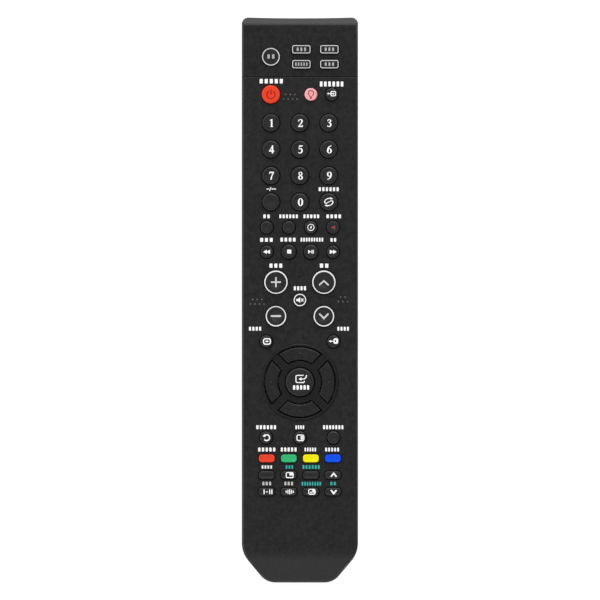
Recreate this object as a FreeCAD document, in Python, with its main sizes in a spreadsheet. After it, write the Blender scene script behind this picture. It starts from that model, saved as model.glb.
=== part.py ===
"""A television remote control: a two-part moulded housing with a separate window section at its head,
55 sprung push keys over a rubber contact sheet, a circuit board with two infrared emitters, and a
battery bay for two AAA cells behind a cover that swings open.

The remote lies on its back with its keys up. X runs across it, Y along it with the infrared end at
+Y, and Z up. The origin is on the resting face, in the middle of the outline. Sizes are millimetres.
"""
import FreeCAD, Part
import math
import os
import Sketcher
from types import SimpleNamespace

SHEET = "Sizes"

SIZES = {
    # The housing's outer form
    "case_length": 236.0,
    "case_width": 48.5,
    "case_height": 21.5,
    "front_corner_radius": 2.7,
    "front_hollow": 0.42,
    "front_slope_run": 3.1,
    "front_slope_drop": 1.7,
    "front_belly_run": 60.0,
    "front_belly_rise": 3.0,
    "tail_corner_run": 12.4,
    "tail_corner_inset": 10.3,
    "tail_side_radius": 11.4,
    "tail_end_radius": 8.0,
    "tail_slope_run": 15.6,
    "tail_crease_run": 8.1,
    "tail_crease_drop": 1.2,
    "tail_belly_run": 18.0,
    "tail_belly_rise": 6.0,
    "belly_corner_radius": 7.0,
    "top_edge_bevel": 0.8,
    # The housing's walls and joints
    "side_wall": 2.0,
    "top_wall": 2.2,
    "floor_wall": 2.0,
    "parting_height": 11.0,
    "cavity_tail_wall": 12.0,
    "cavity_corner_run": 8.0,
    "cavity_corner_inset": 5.8,
    "cavity_shoulder_height": 5.5,
    "cavity_shoulder_inset": 3.7,
    "cavity_nose_step": 28.0,
    "tail_margin": 38.0,
    "board_post_width": 3.0,
    "board_post_column": 17.0,
    "rim_tongue_width": 0.9,
    "rim_tongue_height": 1.2,
    "rim_gap": 0.15,
    "head_length": 24.8,
    "head_seam_gap": 0.15,
    "head_shelf_reach": 2.2,
    "head_shelf_thickness": 1.1,
    "head_shelf_side_gap": 0.5,
    # The key stack, from the board up
    "board_thickness": 1.2,
    "board_side_gap": 1.2,
    "board_front_gap": 10.5,
    "sheet_thickness": 1.0,
    "sheet_margin": 2.0,
    "dome_height": 0.95,
    "dome_width": 4.0,
    "key_travel": 0.9,
    "press_reserve": 0.15,
    "flange_thickness": 0.9,
    "flange_overlap": 0.6,
    "flange_gap": 0.15,
    "key_gap": 0.25,
    "key_height": 1.5,
    # Round keys
    "digit_key_radius": 3.75,
    "power_key_radius": 3.9,
    "small_key_radius": 2.75,
    "play_key_radius": 3.15,
    "upper_step_key_radius": 4.95,
    "lower_step_key_radius": 4.3,
    "mute_key_radius": 2.67,
    # Oblong keys
    "device_key_width": 7.85,
    "device_key_height": 3.6,
    "colour_key_width": 6.6,
    "colour_key_height": 3.3,
    "oblong_corner_radius": 1.2,
    # Where the keys lie: the device rows are measured forwards from the seam, the power row back
    # from it, and each block of rows from the block before it
    "device_column_inner": 0.6,
    "device_column_outer": 12.3,
    "device_row_upper": 11.4,
    "device_row_pitch": 6.2,
    "head_key_column": 12.1,
    "power_row": 7.4,
    "lamp_key_column": 4.6,
    "input_key_column": 13.3,
    "digit_row_first": 11.9,
    "digit_row_pitch": 11.0,
    "digit_column_pitch": 12.05,
    "function_row_first": 10.6,
    "function_row_pitch": 10.2,
    "four_column_pitch": 9.2,
    "mute_row": 20.1,
    "step_key_column": 10.0,
    "step_row_upper": 7.45,
    "step_row_lower": 6.8,
    "corner_key_column": 14.05,
    "menu_row": 17.3,
    "return_row": 57.4,
    "colour_row": 66.1,
    "colour_row_pitch": 6.95,
    # The direction pad
    "pad_centre": 34.3,
    "pad_ring_radius": 16.2,
    "pad_ring_width": 1.1,
    "pad_ring_height": 0.5,
    "pad_hub_radius": 8.75,
    "pad_spoke_width": 3.3,
    "pad_fit_gap": 0.05,
    "arrow_ear_depth": 1.8,
    "arrow_ear_gap": 0.4,
    "enter_key_radius": 6.05,
    # The battery bay and its cover
    "cell_radius": 5.25,
    "cell_length": 44.5,
    "cell_button_radius": 1.9,
    "cell_button_length": 1.0,
    "cell_gap": 0.6,
    "bay_centre": 49.5,
    "bay_wall": 1.4,
    "bay_roof": 1.0,
    "bay_roof_gap": 0.3,
    "bay_side_gap": 0.3,
    "board_seat_gap": 0.1,
    "contact_thickness": 0.4,
    "contact_width": 7.0,
    "contact_height": 8.0,
    "contact_tail_width": 1.6,
    "contact_tongue_reach": 2.6,
    "contact_tongue_width": 5.0,
    "contact_slot_gap": 0.3,
    "contact_touch_gap": 0.1,
    "cover_length": 58.0,
    "cover_width": 33.0,
    "cover_thickness": 1.6,
    "cover_inset": 0.15,
    "cover_gap": 0.25,
    "cover_seat_thickness": 1.3,
    "cover_seat_margin": 2.5,
    "cover_corner_radius": 1.5,
    "hook_width": 4.0,
    "hook_reach": 1.5,
    "hook_thickness": 0.85,
    "hook_spacing": 20.0,
    "hook_room": 0.3,
    "latch_width": 11.0,
    "latch_length": 8.0,
    "latch_slit": 0.8,
    "latch_bead": 0.12,
    "latch_bead_length": 7.4,
    "latch_bead_height": 0.4,
    "grip_groove_width": 0.8,
    "grip_groove_depth": 0.4,
    "grip_groove_pitch": 1.7,
    "grip_groove_count": 4,
    "nail_notch_radius": 5.0,
    "nail_notch_depth": 1.0,
    # What the board carries
    "emitter_radius": 2.5,
    "emitter_length": 7.6,
    "emitter_spacing": 13.0,
    "emitter_lead_pitch": 2.54,
    "emitter_lead_width": 0.5,
    "emitter_lead_length": 5.0,
    "chip_length": 12.8,
    "chip_width": 7.5,
    "chip_thickness": 2.3,
    "chip_lead_count": 10,
    "chip_lead_pitch": 1.27,
    "chip_lead_width": 0.45,
    "chip_lead_reach": 1.4,
    "chip_row": 66.5,
    "chip_standoff": 0.1,
    "chip_lead_thickness": 0.2,
    "capacitor_radius": 2.5,
    "capacitor_length": 11.0,
    "capacitor_row": 46.5,
    "resonator_length": 7.4,
    "resonator_width": 3.2,
    "resonator_height": 4.0,
    "resonator_corner_radius": 1.1,
    "resonator_row": 78.5,
    "backlight_length": 1.6,
    "backlight_width": 0.8,
    "backlight_height": 0.6,
    "backlight_window_gap": 0.3,
}


class Length:
    """A number together with the sheet formula that gives it."""

    def __init__(self, value, formula):
        self.value = float(value)
        self.formula = formula

    def join(self, other, sign, result):
        return Length(result, f"({self.formula} {sign} {as_length(other).formula})")

    def __add__(self, other):
        return self.join(other, "+", self.value + as_length(other).value)

    def __sub__(self, other):
        return self.join(other, "-", self.value - as_length(other).value)

    def __mul__(self, other):
        return self.join(other, "*", self.value * as_length(other).value)

    def __truediv__(self, other):
        return self.join(other, "/", self.value / as_length(other).value)

    def __radd__(self, other):
        return as_length(other) + self

    def __rsub__(self, other):
        return as_length(other) - self

    def __rmul__(self, other):
        return as_length(other) * self

    def __neg__(self):
        return Length(-self.value, f"(-{self.formula})")


def as_length(number):
    return number if isinstance(number, Length) else Length(number, repr(float(number)))


def root(length):
    return Length(math.sqrt(length.value), f"sqrt({length.formula})")


ZERO = as_length(0)
DIGIT_ROWS = 4
COLOUR_ROWS = 3
# How many holes, boxes or oblongs a sketch holds before it gets slow to solve.
CIRCLES_AT_ONCE = 9
BOXES_AT_ONCE = 5
OBLONGS_AT_ONCE = 2


def keep(doc, name, length):
    """Puts a length that is worked out from others in the sheet too, so that formulas stay short."""
    sheet = doc.getObject(SHEET)
    row = len(SIZES) + 1
    while sheet.getContents(f"A{row}"):
        row += 1
    sheet.set(f"A{row}", name)
    sheet.set(f"B{row}", "=" + length.formula.replace(f"{SHEET}.", ""))
    sheet.setAlias(f"B{row}", name)
    doc.recompute()
    return Length(length.value, f"{SHEET}.{name}")


def row_places(doc, s, p):
    """Where the rows of keys lie. Their spacings are spread alike over the length between the row
    behind the seam and the bare end of the housing."""
    r = SimpleNamespace()
    digit_block = s.digit_row_pitch * (DIGIT_ROWS - 1)
    colour_block = s.colour_row_pitch * (COLOUR_ROWS - 1)
    upper = s.digit_row_first + digit_block + s.function_row_first
    lower = s.function_row_pitch + s.mute_row + s.colour_row + colour_block
    room = s.case_length - s.head_length - s.power_row - s.tail_margin
    spread = keep(doc, "row_spread", room / (upper + lower))
    r.device = [p.seam + s.device_row_upper - s.device_row_pitch * row for row in range(2)]
    r.power = p.seam - s.power_row
    first = r.power - s.digit_row_first * spread
    r.digits = [first - s.digit_row_pitch * spread * row for row in range(DIGIT_ROWS)]
    first = r.digits[-1] - s.function_row_first * spread
    r.functions = [first, first - s.function_row_pitch * spread]
    r.mute = keep(doc, "mute_place", r.functions[-1] - s.mute_row * spread)
    r.step_upper = r.mute + s.step_row_upper * spread
    r.step_lower = r.mute - s.step_row_lower * spread
    r.menu = r.mute - s.menu_row * spread
    r.pad = keep(doc, "pad_place", r.mute - s.pad_centre * spread)
    r.answer = r.mute - s.return_row * spread
    first = r.mute - s.colour_row * spread
    r.colours = [first - s.colour_row_pitch * spread * row for row in range(COLOUR_ROWS)]
    return r


def key_list(s, r):
    """Every push key: its name, middle, plan form and, where it shares a node, that node's name."""
    keys = []

    def add(name, x, y, form, node=None):
        keys.append(SimpleNamespace(name=name, x=x, y=y, form=form, node=node or name))

    digit = SimpleNamespace(radius=s.digit_key_radius)
    small = SimpleNamespace(radius=s.small_key_radius)
    play = SimpleNamespace(radius=s.play_key_radius)
    upper_step = SimpleNamespace(radius=s.upper_step_key_radius)
    lower_step = SimpleNamespace(radius=s.lower_step_key_radius)
    device = SimpleNamespace(width=s.device_key_width, height=s.device_key_height)
    oblong = SimpleNamespace(width=s.colour_key_width, height=s.colour_key_height)
    add("tv_key", -s.head_key_column, (r.device[0] + r.device[1]) / 2, digit)
    for row, y in enumerate(r.device):
        for place, column in enumerate((s.device_column_inner, s.device_column_outer)):
            add(f"device_key_{2 * row + place + 1}", column, y, device, "device_keys")

    power = SimpleNamespace(radius=s.power_key_radius)
    add("power_key", -s.head_key_column, r.power, power)
    add("lamp_key", s.lamp_key_column, r.power, small)
    add("input_key", s.input_key_column, r.power, small)

    labels = ("1", "2", "3", "4", "5", "6", "7", "8", "9", "dash", "0", "previous")
    for place, label in enumerate(labels):
        x = s.digit_column_pitch * (place % 3 - 1)
        add(f"key_{label}", x, r.digits[place // 3], digit)

    rows = (
        (("list_key", small), ("antenna_key", small), ("timer_key", small), ("record_key", small)),
        (("rewind_key", small), ("stop_key", play), ("play_key", play), ("forward_key", small)),
    )
    for row, names in enumerate(rows):
        for column, (name, form) in enumerate(names):
            add(name, s.four_column_pitch * (column - 1.5), r.functions[row], form)

    add("volume_up_key", -s.step_key_column, r.step_upper, upper_step)
    add("channel_up_key", s.step_key_column, r.step_upper, upper_step)
    add("mute_key", ZERO, r.mute, SimpleNamespace(radius=s.mute_key_radius))
    add("volume_down_key", -s.step_key_column, r.step_lower, lower_step)
    add("channel_down_key", s.step_key_column, r.step_lower, lower_step)
    add("menu_key", -s.corner_key_column, r.menu, small)
    add("exit_key", s.corner_key_column, r.menu, small)
    add("enter_key", ZERO, r.pad, SimpleNamespace(radius=s.enter_key_radius))
    add("return_key", -s.corner_key_column, r.answer, small)
    add("info_key", ZERO, r.answer, small)
    add("caption_key", s.corner_key_column, r.answer, small)

    rows = (
        ("red_key", "green_key", "yellow_key", "blue_key"),
        ("picture_key_1", "picture_key_2", "picture_key_3", "picture_key_4"),
        ("sound_key_1", "sound_key_2", "sound_key_3", "sound_key_4"),
    )
    for row, names in enumerate(rows):
        for column, name in enumerate(names):
            node = None if row == 0 else name[:-2] + "s"
            add(name, s.four_column_pitch * (column - 1.5), r.colours[row], oblong, node)
    return keys


ARROWS = (("up_key", 0), ("left_key", 90), ("down_key", 180), ("right_key", 270))


def new_sheet(doc):
    sheet = doc.addObject("Spreadsheet::Sheet", SHEET)
    sizes = SimpleNamespace()
    for row, (name, value) in enumerate(SIZES.items(), start=1):
        sheet.set(f"A{row}", name)
        sheet.set(f"B{row}", str(value))
        sheet.setAlias(f"B{row}", name)
        setattr(sizes, name, Length(value, f"{SHEET}.{name}"))
    doc.recompute()
    return sizes


def new_body(doc, name):
    body = doc.addObject("PartDesign::Body", name)
    body.Label = name
    return body


def origin_plane(body, role):
    for feature in body.Origin.OriginFeatures:
        if feature.Role == role:
            return feature
    raise RuntimeError(f"{body.Label} has no {role}")


def new_sketch(body, role, offset=None):
    """A sketch on one of the body's own origin planes, moved along the plane's normal by offset."""
    sketch = body.newObject("Sketcher::SketchObject", "sketch")
    sketch.AttachmentSupport = (origin_plane(body, role), "")
    sketch.MapMode = "FlatFace"
    if offset is not None:
        sketch.setExpression("AttachmentOffset.Base.z", offset.formula)
    return sketch


def constrain(sketch, rules):
    """Adds constraints, and binds those that have a Length to the sheet."""
    numbers = sketch.addConstraint([rule for rule, length in rules])
    for number, (rule, length) in zip(numbers, rules):
        if length is not None:
            sketch.setExpression(f"Constraints[{number}]", length.formula)


def pin(geometry, point, x, y):
    """Rules that hold one point of a curve at x, y from the sketch's origin."""
    across = Sketcher.Constraint("DistanceX", -1, 1, geometry, point, x.value)
    along = Sketcher.Constraint("DistanceY", -1, 1, geometry, point, y.value)
    return [(across, x), (along, y)]


def draw_circle(sketch, x, y, radius):
    centre = FreeCAD.Vector(x.value, y.value, 0)
    circle = Part.Circle(centre, FreeCAD.Vector(0, 0, 1), radius.value)
    number = sketch.addGeometry(circle)
    size = (Sketcher.Constraint("Radius", number, radius.value), radius)
    constrain(sketch, pin(number, 3, x, y) + [size])


def draw_loop(sketch, points, arcs=None):
    """A closed outline through points. arcs gives, for the side after a point, its radius and +1
    where it bulges to the right of the way round, or -1 where it bulges to the left."""
    arcs = arcs or {}
    points = [(as_length(x), as_length(y)) for x, y in points]
    places = [FreeCAD.Vector(x.value, y.value, 0) for x, y in points]
    numbers = []
    for i, start in enumerate(places):
        end = places[(i + 1) % len(places)]
        if i in arcs:
            radius, side = arcs[i]
            chord = end - start
            rise = radius.value - math.sqrt(radius.value**2 - (chord.Length / 2) ** 2)
            right = FreeCAD.Vector(chord.y, -chord.x, 0).normalize()
            middle = (start + end) / 2 + right * (side * rise)
            numbers.append(sketch.addGeometry(Part.Arc(start, middle, end)))
        else:
            numbers.append(sketch.addGeometry(Part.LineSegment(start, end)))
    rules = []
    ends = []
    for i, number in enumerate(numbers):
        # A three-point arc is stored anticlockwise, so its ends may be the other way round.
        first, last = 1, 2
        if i in arcs and arcs[i][1] < 0:
            first, last = 2, 1
        ends.append((number, first, last))
    for i, (number, first, last) in enumerate(ends):
        after, after_first, after_last = ends[(i + 1) % len(ends)]
        rules.append((Sketcher.Constraint("Coincident", number, last, after, after_first), None))
        rules += pin(number, first, *points[i])
        if i in arcs:
            radius = arcs[i][0]
            rules.append((Sketcher.Constraint("Radius", number, radius.value), radius))
    constrain(sketch, rules)


def draw_box(sketch, left, right, low, high):
    """A rectangle, held by two opposite corners."""
    corners = [(left, low), (right, low), (right, high), (left, high)]
    corners = [(as_length(x), as_length(y)) for x, y in corners]
    places = [FreeCAD.Vector(x.value, y.value, 0) for x, y in corners]
    sides = []
    for start, end in zip(places, places[1:] + places[:1]):
        sides.append(sketch.addGeometry(Part.LineSegment(start, end)))
    rules = []
    for side, after in zip(sides, sides[1:] + sides[:1]):
        rules.append((Sketcher.Constraint("Coincident", side, 2, after, 1), None))
    for side, direction in zip(sides, ("Horizontal", "Vertical", "Horizontal", "Vertical")):
        rules.append((Sketcher.Constraint(direction, side), None))
    rules += pin(sides[0], 1, *corners[0]) + pin(sides[2], 1, *corners[2])
    constrain(sketch, rules)


def draw_centred_box(sketch, x, y, width, height):
    draw_box(sketch, x - width / 2, x + width / 2, y - height / 2, y + height / 2)


def draw_oblong(sketch, x, y, width, height, radius):
    """A rectangle with rounded corners."""
    left, right = x - width / 2, x + width / 2
    low, high = y - height / 2, y + height / 2
    points = [
        (left + radius, low), (right - radius, low),
        (right, low + radius), (right, high - radius),
        (right - radius, high), (left + radius, high),
        (left, high - radius), (left, low + radius),
    ]
    draw_loop(sketch, points, {side: (radius, 1) for side in (1, 3, 5, 7)})


def draw_cut_corner_box(sketch, x, y, width, height, radius):
    """A rectangle whose 45 degree corners just clear a rounded corner of this radius."""
    cut = radius * (2 - math.sqrt(2))
    left, right = x - width / 2, x + width / 2
    low, high = y - height / 2, y + height / 2
    points = [
        (left + cut, low), (right - cut, low),
        (right, low + cut), (right, high - cut),
        (right - cut, high), (left + cut, high),
        (left, high - cut), (left, low + cut),
    ]
    draw_loop(sketch, points)


def pad(body, sketch, length, backwards=False):
    feature = body.newObject("PartDesign::Pad", "pad")
    feature.Profile = sketch
    feature.setExpression("Length", as_length(length).formula)
    feature.Reversed = backwards
    return feature


def pad_both_ways(body, sketch, length):
    feature = pad(body, sketch, length)
    feature.SideType = "Symmetric"
    return feature


def pocket(body, sketch, length, upwards):
    """A pocket of a set depth from the sketch, along +Z (or its plane's normal) if upwards."""
    feature = body.newObject("PartDesign::Pocket", "pocket")
    feature.Profile = sketch
    feature.setExpression("Length", as_length(length).formula)
    feature.Reversed = upwards
    return feature


def cut_through(body, sketch):
    """A pocket that goes through the whole body, both ways from the sketch."""
    feature = body.newObject("PartDesign::Pocket", "pocket")
    feature.Profile = sketch
    feature.Type = "ThroughAll"
    feature.SideType = "Symmetric"
    return feature


def edges_where(feature, test):
    names = []
    for number, edge in enumerate(feature.Shape.Edges, start=1):
        if test(edge):
            names.append(f"Edge{number}")
    if not names:
        raise RuntimeError(f"no edge of {feature.Label} is the one meant")
    return names


def round_edges(body, test, radius):
    base = body.Tip
    body.Document.recompute()
    feature = body.newObject("PartDesign::Fillet", "round")
    feature.Base = (base, edges_where(base, test))
    feature.setExpression("Radius", radius.formula)
    return feature


def bevel_edges(body, test, size):
    base = body.Tip
    body.Document.recompute()
    feature = body.newObject("PartDesign::Chamfer", "bevel")
    feature.Base = (base, edges_where(base, test))
    feature.setExpression("Size", size.formula)
    return feature


NEAR = 0.001


def upright_at(x, y):
    """True of an edge that stands on X, Y, on either side of the middle."""
    def test(edge):
        box = edge.BoundBox
        if box.XLength > NEAR or box.YLength > NEAR:
            return False
        return abs(abs(box.XMin) - x.value) < NEAR and abs(box.YMin - y.value) < NEAR
    return test


def stack(s):
    """The heights of what lies under a key, worked down from the top of the housing."""
    z = SimpleNamespace()
    z.top = s.case_height
    z.ceiling = z.top - s.top_wall
    z.flange_top = z.ceiling - s.flange_gap
    z.flange_bottom = z.flange_top - s.flange_thickness
    z.dome_top = z.flange_bottom - s.key_travel - s.press_reserve
    z.sheet_top = z.dome_top - s.dome_height
    z.board_top = z.sheet_top - s.sheet_thickness
    z.board_bottom = z.board_top - s.board_thickness
    z.bay_roof_top = z.board_bottom - s.board_seat_gap
    z.bay_ceiling = z.bay_roof_top - s.bay_roof
    z.cell_axis = z.bay_ceiling - s.bay_roof_gap - s.cell_radius
    z.cover_inside = s.cover_inset + s.cover_thickness
    z.seat = z.cover_inside + s.cover_gap
    return z


def plan(s):
    """Places along and across the remote that more than one piece shares."""
    p = SimpleNamespace()
    p.side = s.case_width / 2
    p.front = s.case_length / 2
    p.tail = -p.front
    p.inner_side = p.side - s.side_wall
    p.inner_front = p.front - s.front_hollow - s.side_wall
    p.inner_tail = p.tail + s.cavity_tail_wall
    p.seam = p.front - s.head_length
    p.board_front = p.front - s.board_front_gap
    p.sheet_front = p.board_front - s.key_gap * 2
    p.cell_column = s.cell_radius + s.cell_gap / 2
    p.bay_half_width = p.cell_column + s.cell_radius + s.bay_side_gap
    p.contact_room = s.contact_thickness + s.contact_touch_gap
    p.bay_length = s.cell_length + s.contact_tongue_reach + p.contact_room * 2
    p.bay_middle = p.tail + s.bay_centre
    p.bay_head = p.bay_middle + p.bay_length / 2
    p.bay_tail = p.bay_middle - p.bay_length / 2
    p.cover_head = p.bay_middle + s.cover_length / 2
    p.cover_tail = p.bay_middle - s.cover_length / 2
    p.pad_inner = s.pad_ring_radius - s.pad_ring_width
    # Well outside the housing, for boxes that cut all of one side of it away.
    p.beyond = s.case_length
    return p


def draw_outline(sketch, s, p):
    """The housing seen from above, with its corners still sharp and its front slightly hollow."""
    hollow = s.front_hollow
    front_radius = (p.side * p.side + hollow * hollow) / (hollow * 2)
    points = [
        (-p.side, p.front),
        (-p.side, p.tail + s.tail_corner_run),
        (-p.side + s.tail_corner_inset, p.tail),
        (p.side - s.tail_corner_inset, p.tail),
        (p.side, p.tail + s.tail_corner_run),
        (p.side, p.front),
    ]
    draw_loop(sketch, points, {5: (front_radius, -1)})


def pad_outline(body, s, p, low, high):
    """The housing's rounded outline as a block between two heights."""
    sketch = new_sketch(body, "XY_Plane", low)
    draw_outline(sketch, s, p)
    pad(body, sketch, high - low)
    round_edges(body, upright_at(p.side, p.front), s.front_corner_radius)
    round_edges(body, upright_at(p.side, p.tail + s.tail_corner_run), s.tail_side_radius)
    round_edges(body, upright_at(p.side - s.tail_corner_inset, p.tail), s.tail_end_radius)


def draw_cavity(sketch, s, p, spread=0.0, front=None):
    """The inside of the side walls, moved outwards by spread."""
    side = p.inner_side + spread
    tail = p.inner_tail - spread
    front = p.inner_front + spread if front is None else front
    points = [
        (-side, front),
        (-side, p.inner_tail + s.cavity_corner_run),
        (-side + s.cavity_corner_inset, tail),
        (side - s.cavity_corner_inset, tail),
        (side, p.inner_tail + s.cavity_corner_run),
        (side, front),
    ]
    draw_loop(sketch, points)


def faces_beside(shape, edge):
    return [face for face in shape.Faces if any(edge.isSame(other) for other in face.Edges)]


def faces_up(face):
    first_u, last_u, first_v, last_v = face.ParameterRange
    return face.normalAt((first_u + last_u) / 2, (first_v + last_v) / 2).z > 0.5


def upper_rim(body):
    """True of an edge between the top of the body and one of its sides."""
    body.Document.recompute()
    shape = body.Tip.Shape

    def test(edge):
        if edge.BoundBox.ZMax < shape.BoundBox.ZMax / 2 + shape.BoundBox.ZMin / 2:
            return False
        beside = faces_beside(shape, edge)
        return len(beside) == 2 and faces_up(beside[0]) != faces_up(beside[1])
    return test


def slope_tail(body, s, p, z):
    """The top falls away to the tail: an arc that leaves the flat smoothly, then a straight slope."""
    arc_run = s.tail_slope_run - s.tail_crease_run
    drop = s.tail_crease_drop
    radius = (arc_run * arc_run + drop * drop) / (drop * 2)
    fall = arc_run / (radius - drop)
    start = p.tail + s.tail_slope_run
    crease = p.tail + s.tail_crease_run
    past = s.side_wall
    end_height = z.top - drop - (s.tail_crease_run + past) * fall
    sketch = new_sketch(body, "YZ_Plane")
    points = [
        (start, z.top),
        (start, z.top + past),
        (p.tail - past, z.top + past),
        (p.tail - past, end_height),
        (crease, z.top - drop),
    ]
    draw_loop(sketch, points, {4: (radius, -1)})
    cut_through(body, sketch)


def slope_front(body, s, p, z):
    """The crisp band that slopes down to the front edge."""
    past = s.side_wall
    end_height = z.top - s.front_slope_drop * (s.front_slope_run + past) / s.front_slope_run
    sketch = new_sketch(body, "YZ_Plane")
    points = [
        (p.front - s.front_slope_run, z.top),
        (p.front + past, end_height),
        (p.front + past, z.top + past),
        (p.front - s.front_slope_run, z.top + past),
    ]
    draw_loop(sketch, points)
    cut_through(body, sketch)


def open_from_below(body, s, p, z):
    """Hollows out an upper piece, and steps its rim back for the lower piece's tongue."""
    sketch = new_sketch(body, "XY_Plane", s.parting_height)
    draw_cavity(sketch, s, p)
    pocket(body, sketch, z.ceiling - s.parting_height, True)
    sketch = new_sketch(body, "XY_Plane", s.parting_height)
    draw_cavity(sketch, s, p, s.rim_tongue_width + s.rim_gap)
    pocket(body, sketch, s.rim_tongue_height + s.rim_gap, True)


def batches(items, size):
    return [items[first:first + size] for first in range(0, len(items), size)]


def cut_key_holes(body, s, keys):
    """A hole for each key, a few to a sketch."""
    round_keys = [key for key in keys if hasattr(key.form, "radius")]
    oblong_keys = [key for key in keys if not hasattr(key.form, "radius")]
    for some in batches(round_keys, CIRCLES_AT_ONCE):
        sketch = new_sketch(body, "XY_Plane", s.case_height)
        for key in some:
            draw_circle(sketch, key.x, key.y, key.form.radius + s.key_gap)
        cut_through(body, sketch)
    for some in batches(oblong_keys, OBLONGS_AT_ONCE):
        sketch = new_sketch(body, "XY_Plane", s.case_height)
        for key in some:
            width = key.form.width + s.key_gap * 2
            height = key.form.height + s.key_gap * 2
            radius = s.oblong_corner_radius + s.key_gap
            draw_cut_corner_box(sketch, key.x, key.y, width, height, radius)
        cut_through(body, sketch)


def make_top_case(doc, s, p, r, z, keys):
    body = new_body(doc, "top_case")
    pad_outline(body, s, p, s.parting_height, z.top)
    slope_tail(body, s, p, z)
    bevel_edges(body, upper_rim(body), s.top_edge_bevel)
    open_from_below(body, s, p, z)

    # Only what lies behind the seam is this piece.
    seam = p.seam - s.head_seam_gap / 2
    sketch = new_sketch(body, "XY_Plane", z.top)
    draw_box(sketch, -p.beyond, p.beyond, seam, p.beyond)
    cut_through(body, sketch)

    # A shelf reaches under the window section and holds the two flush.
    shelf_side = p.inner_side - s.head_shelf_side_gap
    shelf_low = z.ceiling - s.rim_gap - s.head_shelf_thickness
    sketch = new_sketch(body, "XY_Plane", shelf_low)
    draw_box(sketch, -shelf_side, shelf_side, seam - s.head_shelf_reach, seam)
    pad(body, sketch, z.ceiling - shelf_low)
    sketch = new_sketch(body, "XY_Plane", shelf_low)
    draw_box(sketch, -shelf_side, shelf_side, seam - s.head_shelf_reach, seam + s.head_shelf_reach)
    pad(body, sketch, s.head_shelf_thickness)

    cut_key_holes(body, s, keys)

    # The direction pad's ring is pressed into a hole of its own.
    sketch = new_sketch(body, "XY_Plane", z.top)
    draw_circle(sketch, ZERO, r.pad, s.pad_ring_radius + s.pad_fit_gap)
    cut_through(body, sketch)
    return body


def make_head_window(doc, s, p, z, keys):
    """The dark section over the infrared end, which wraps over the front."""
    body = new_body(doc, "head_window")
    pad_outline(body, s, p, s.parting_height, z.top)
    bevel_edges(body, upper_rim(body), s.top_edge_bevel)
    slope_front(body, s, p, z)
    open_from_below(body, s, p, z)
    sketch = new_sketch(body, "XY_Plane", z.top)
    draw_box(sketch, -p.beyond, p.beyond, -p.beyond, p.seam + s.head_seam_gap / 2)
    cut_through(body, sketch)
    cut_key_holes(body, s, keys)
    return body


def shape_belly(body, s, p):
    """The underside: rounded along both sides, and rising gently to the head and to the tail."""
    radius = s.belly_corner_radius
    past = s.side_wall
    sketch = new_sketch(body, "XZ_Plane")
    for side in (-1, 1):
        edge = p.side * side
        foot = edge - radius * side
        points = [(foot, ZERO), (foot, -past), (edge + past * side, -past),
                  (edge + past * side, radius), (edge, radius)]
        draw_loop(sketch, points, {4: (radius, -side)})
    cut_through(body, sketch)

    ends = (
        (p.front, 1, s.front_belly_run, s.front_belly_rise),
        (p.tail, -1, s.tail_belly_run, s.tail_belly_rise),
    )
    sketch = new_sketch(body, "YZ_Plane")
    for end, side, run, rise in ends:
        start = end - run * side
        radius = (run * run + rise * rise) / (rise * 2)
        points = [(start, ZERO), (start, -past), (end + past * side, -past),
                  (end + past * side, rise), (end, rise)]
        draw_loop(sketch, points, {4: (radius, -side)})
    cut_through(body, sketch)


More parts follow.
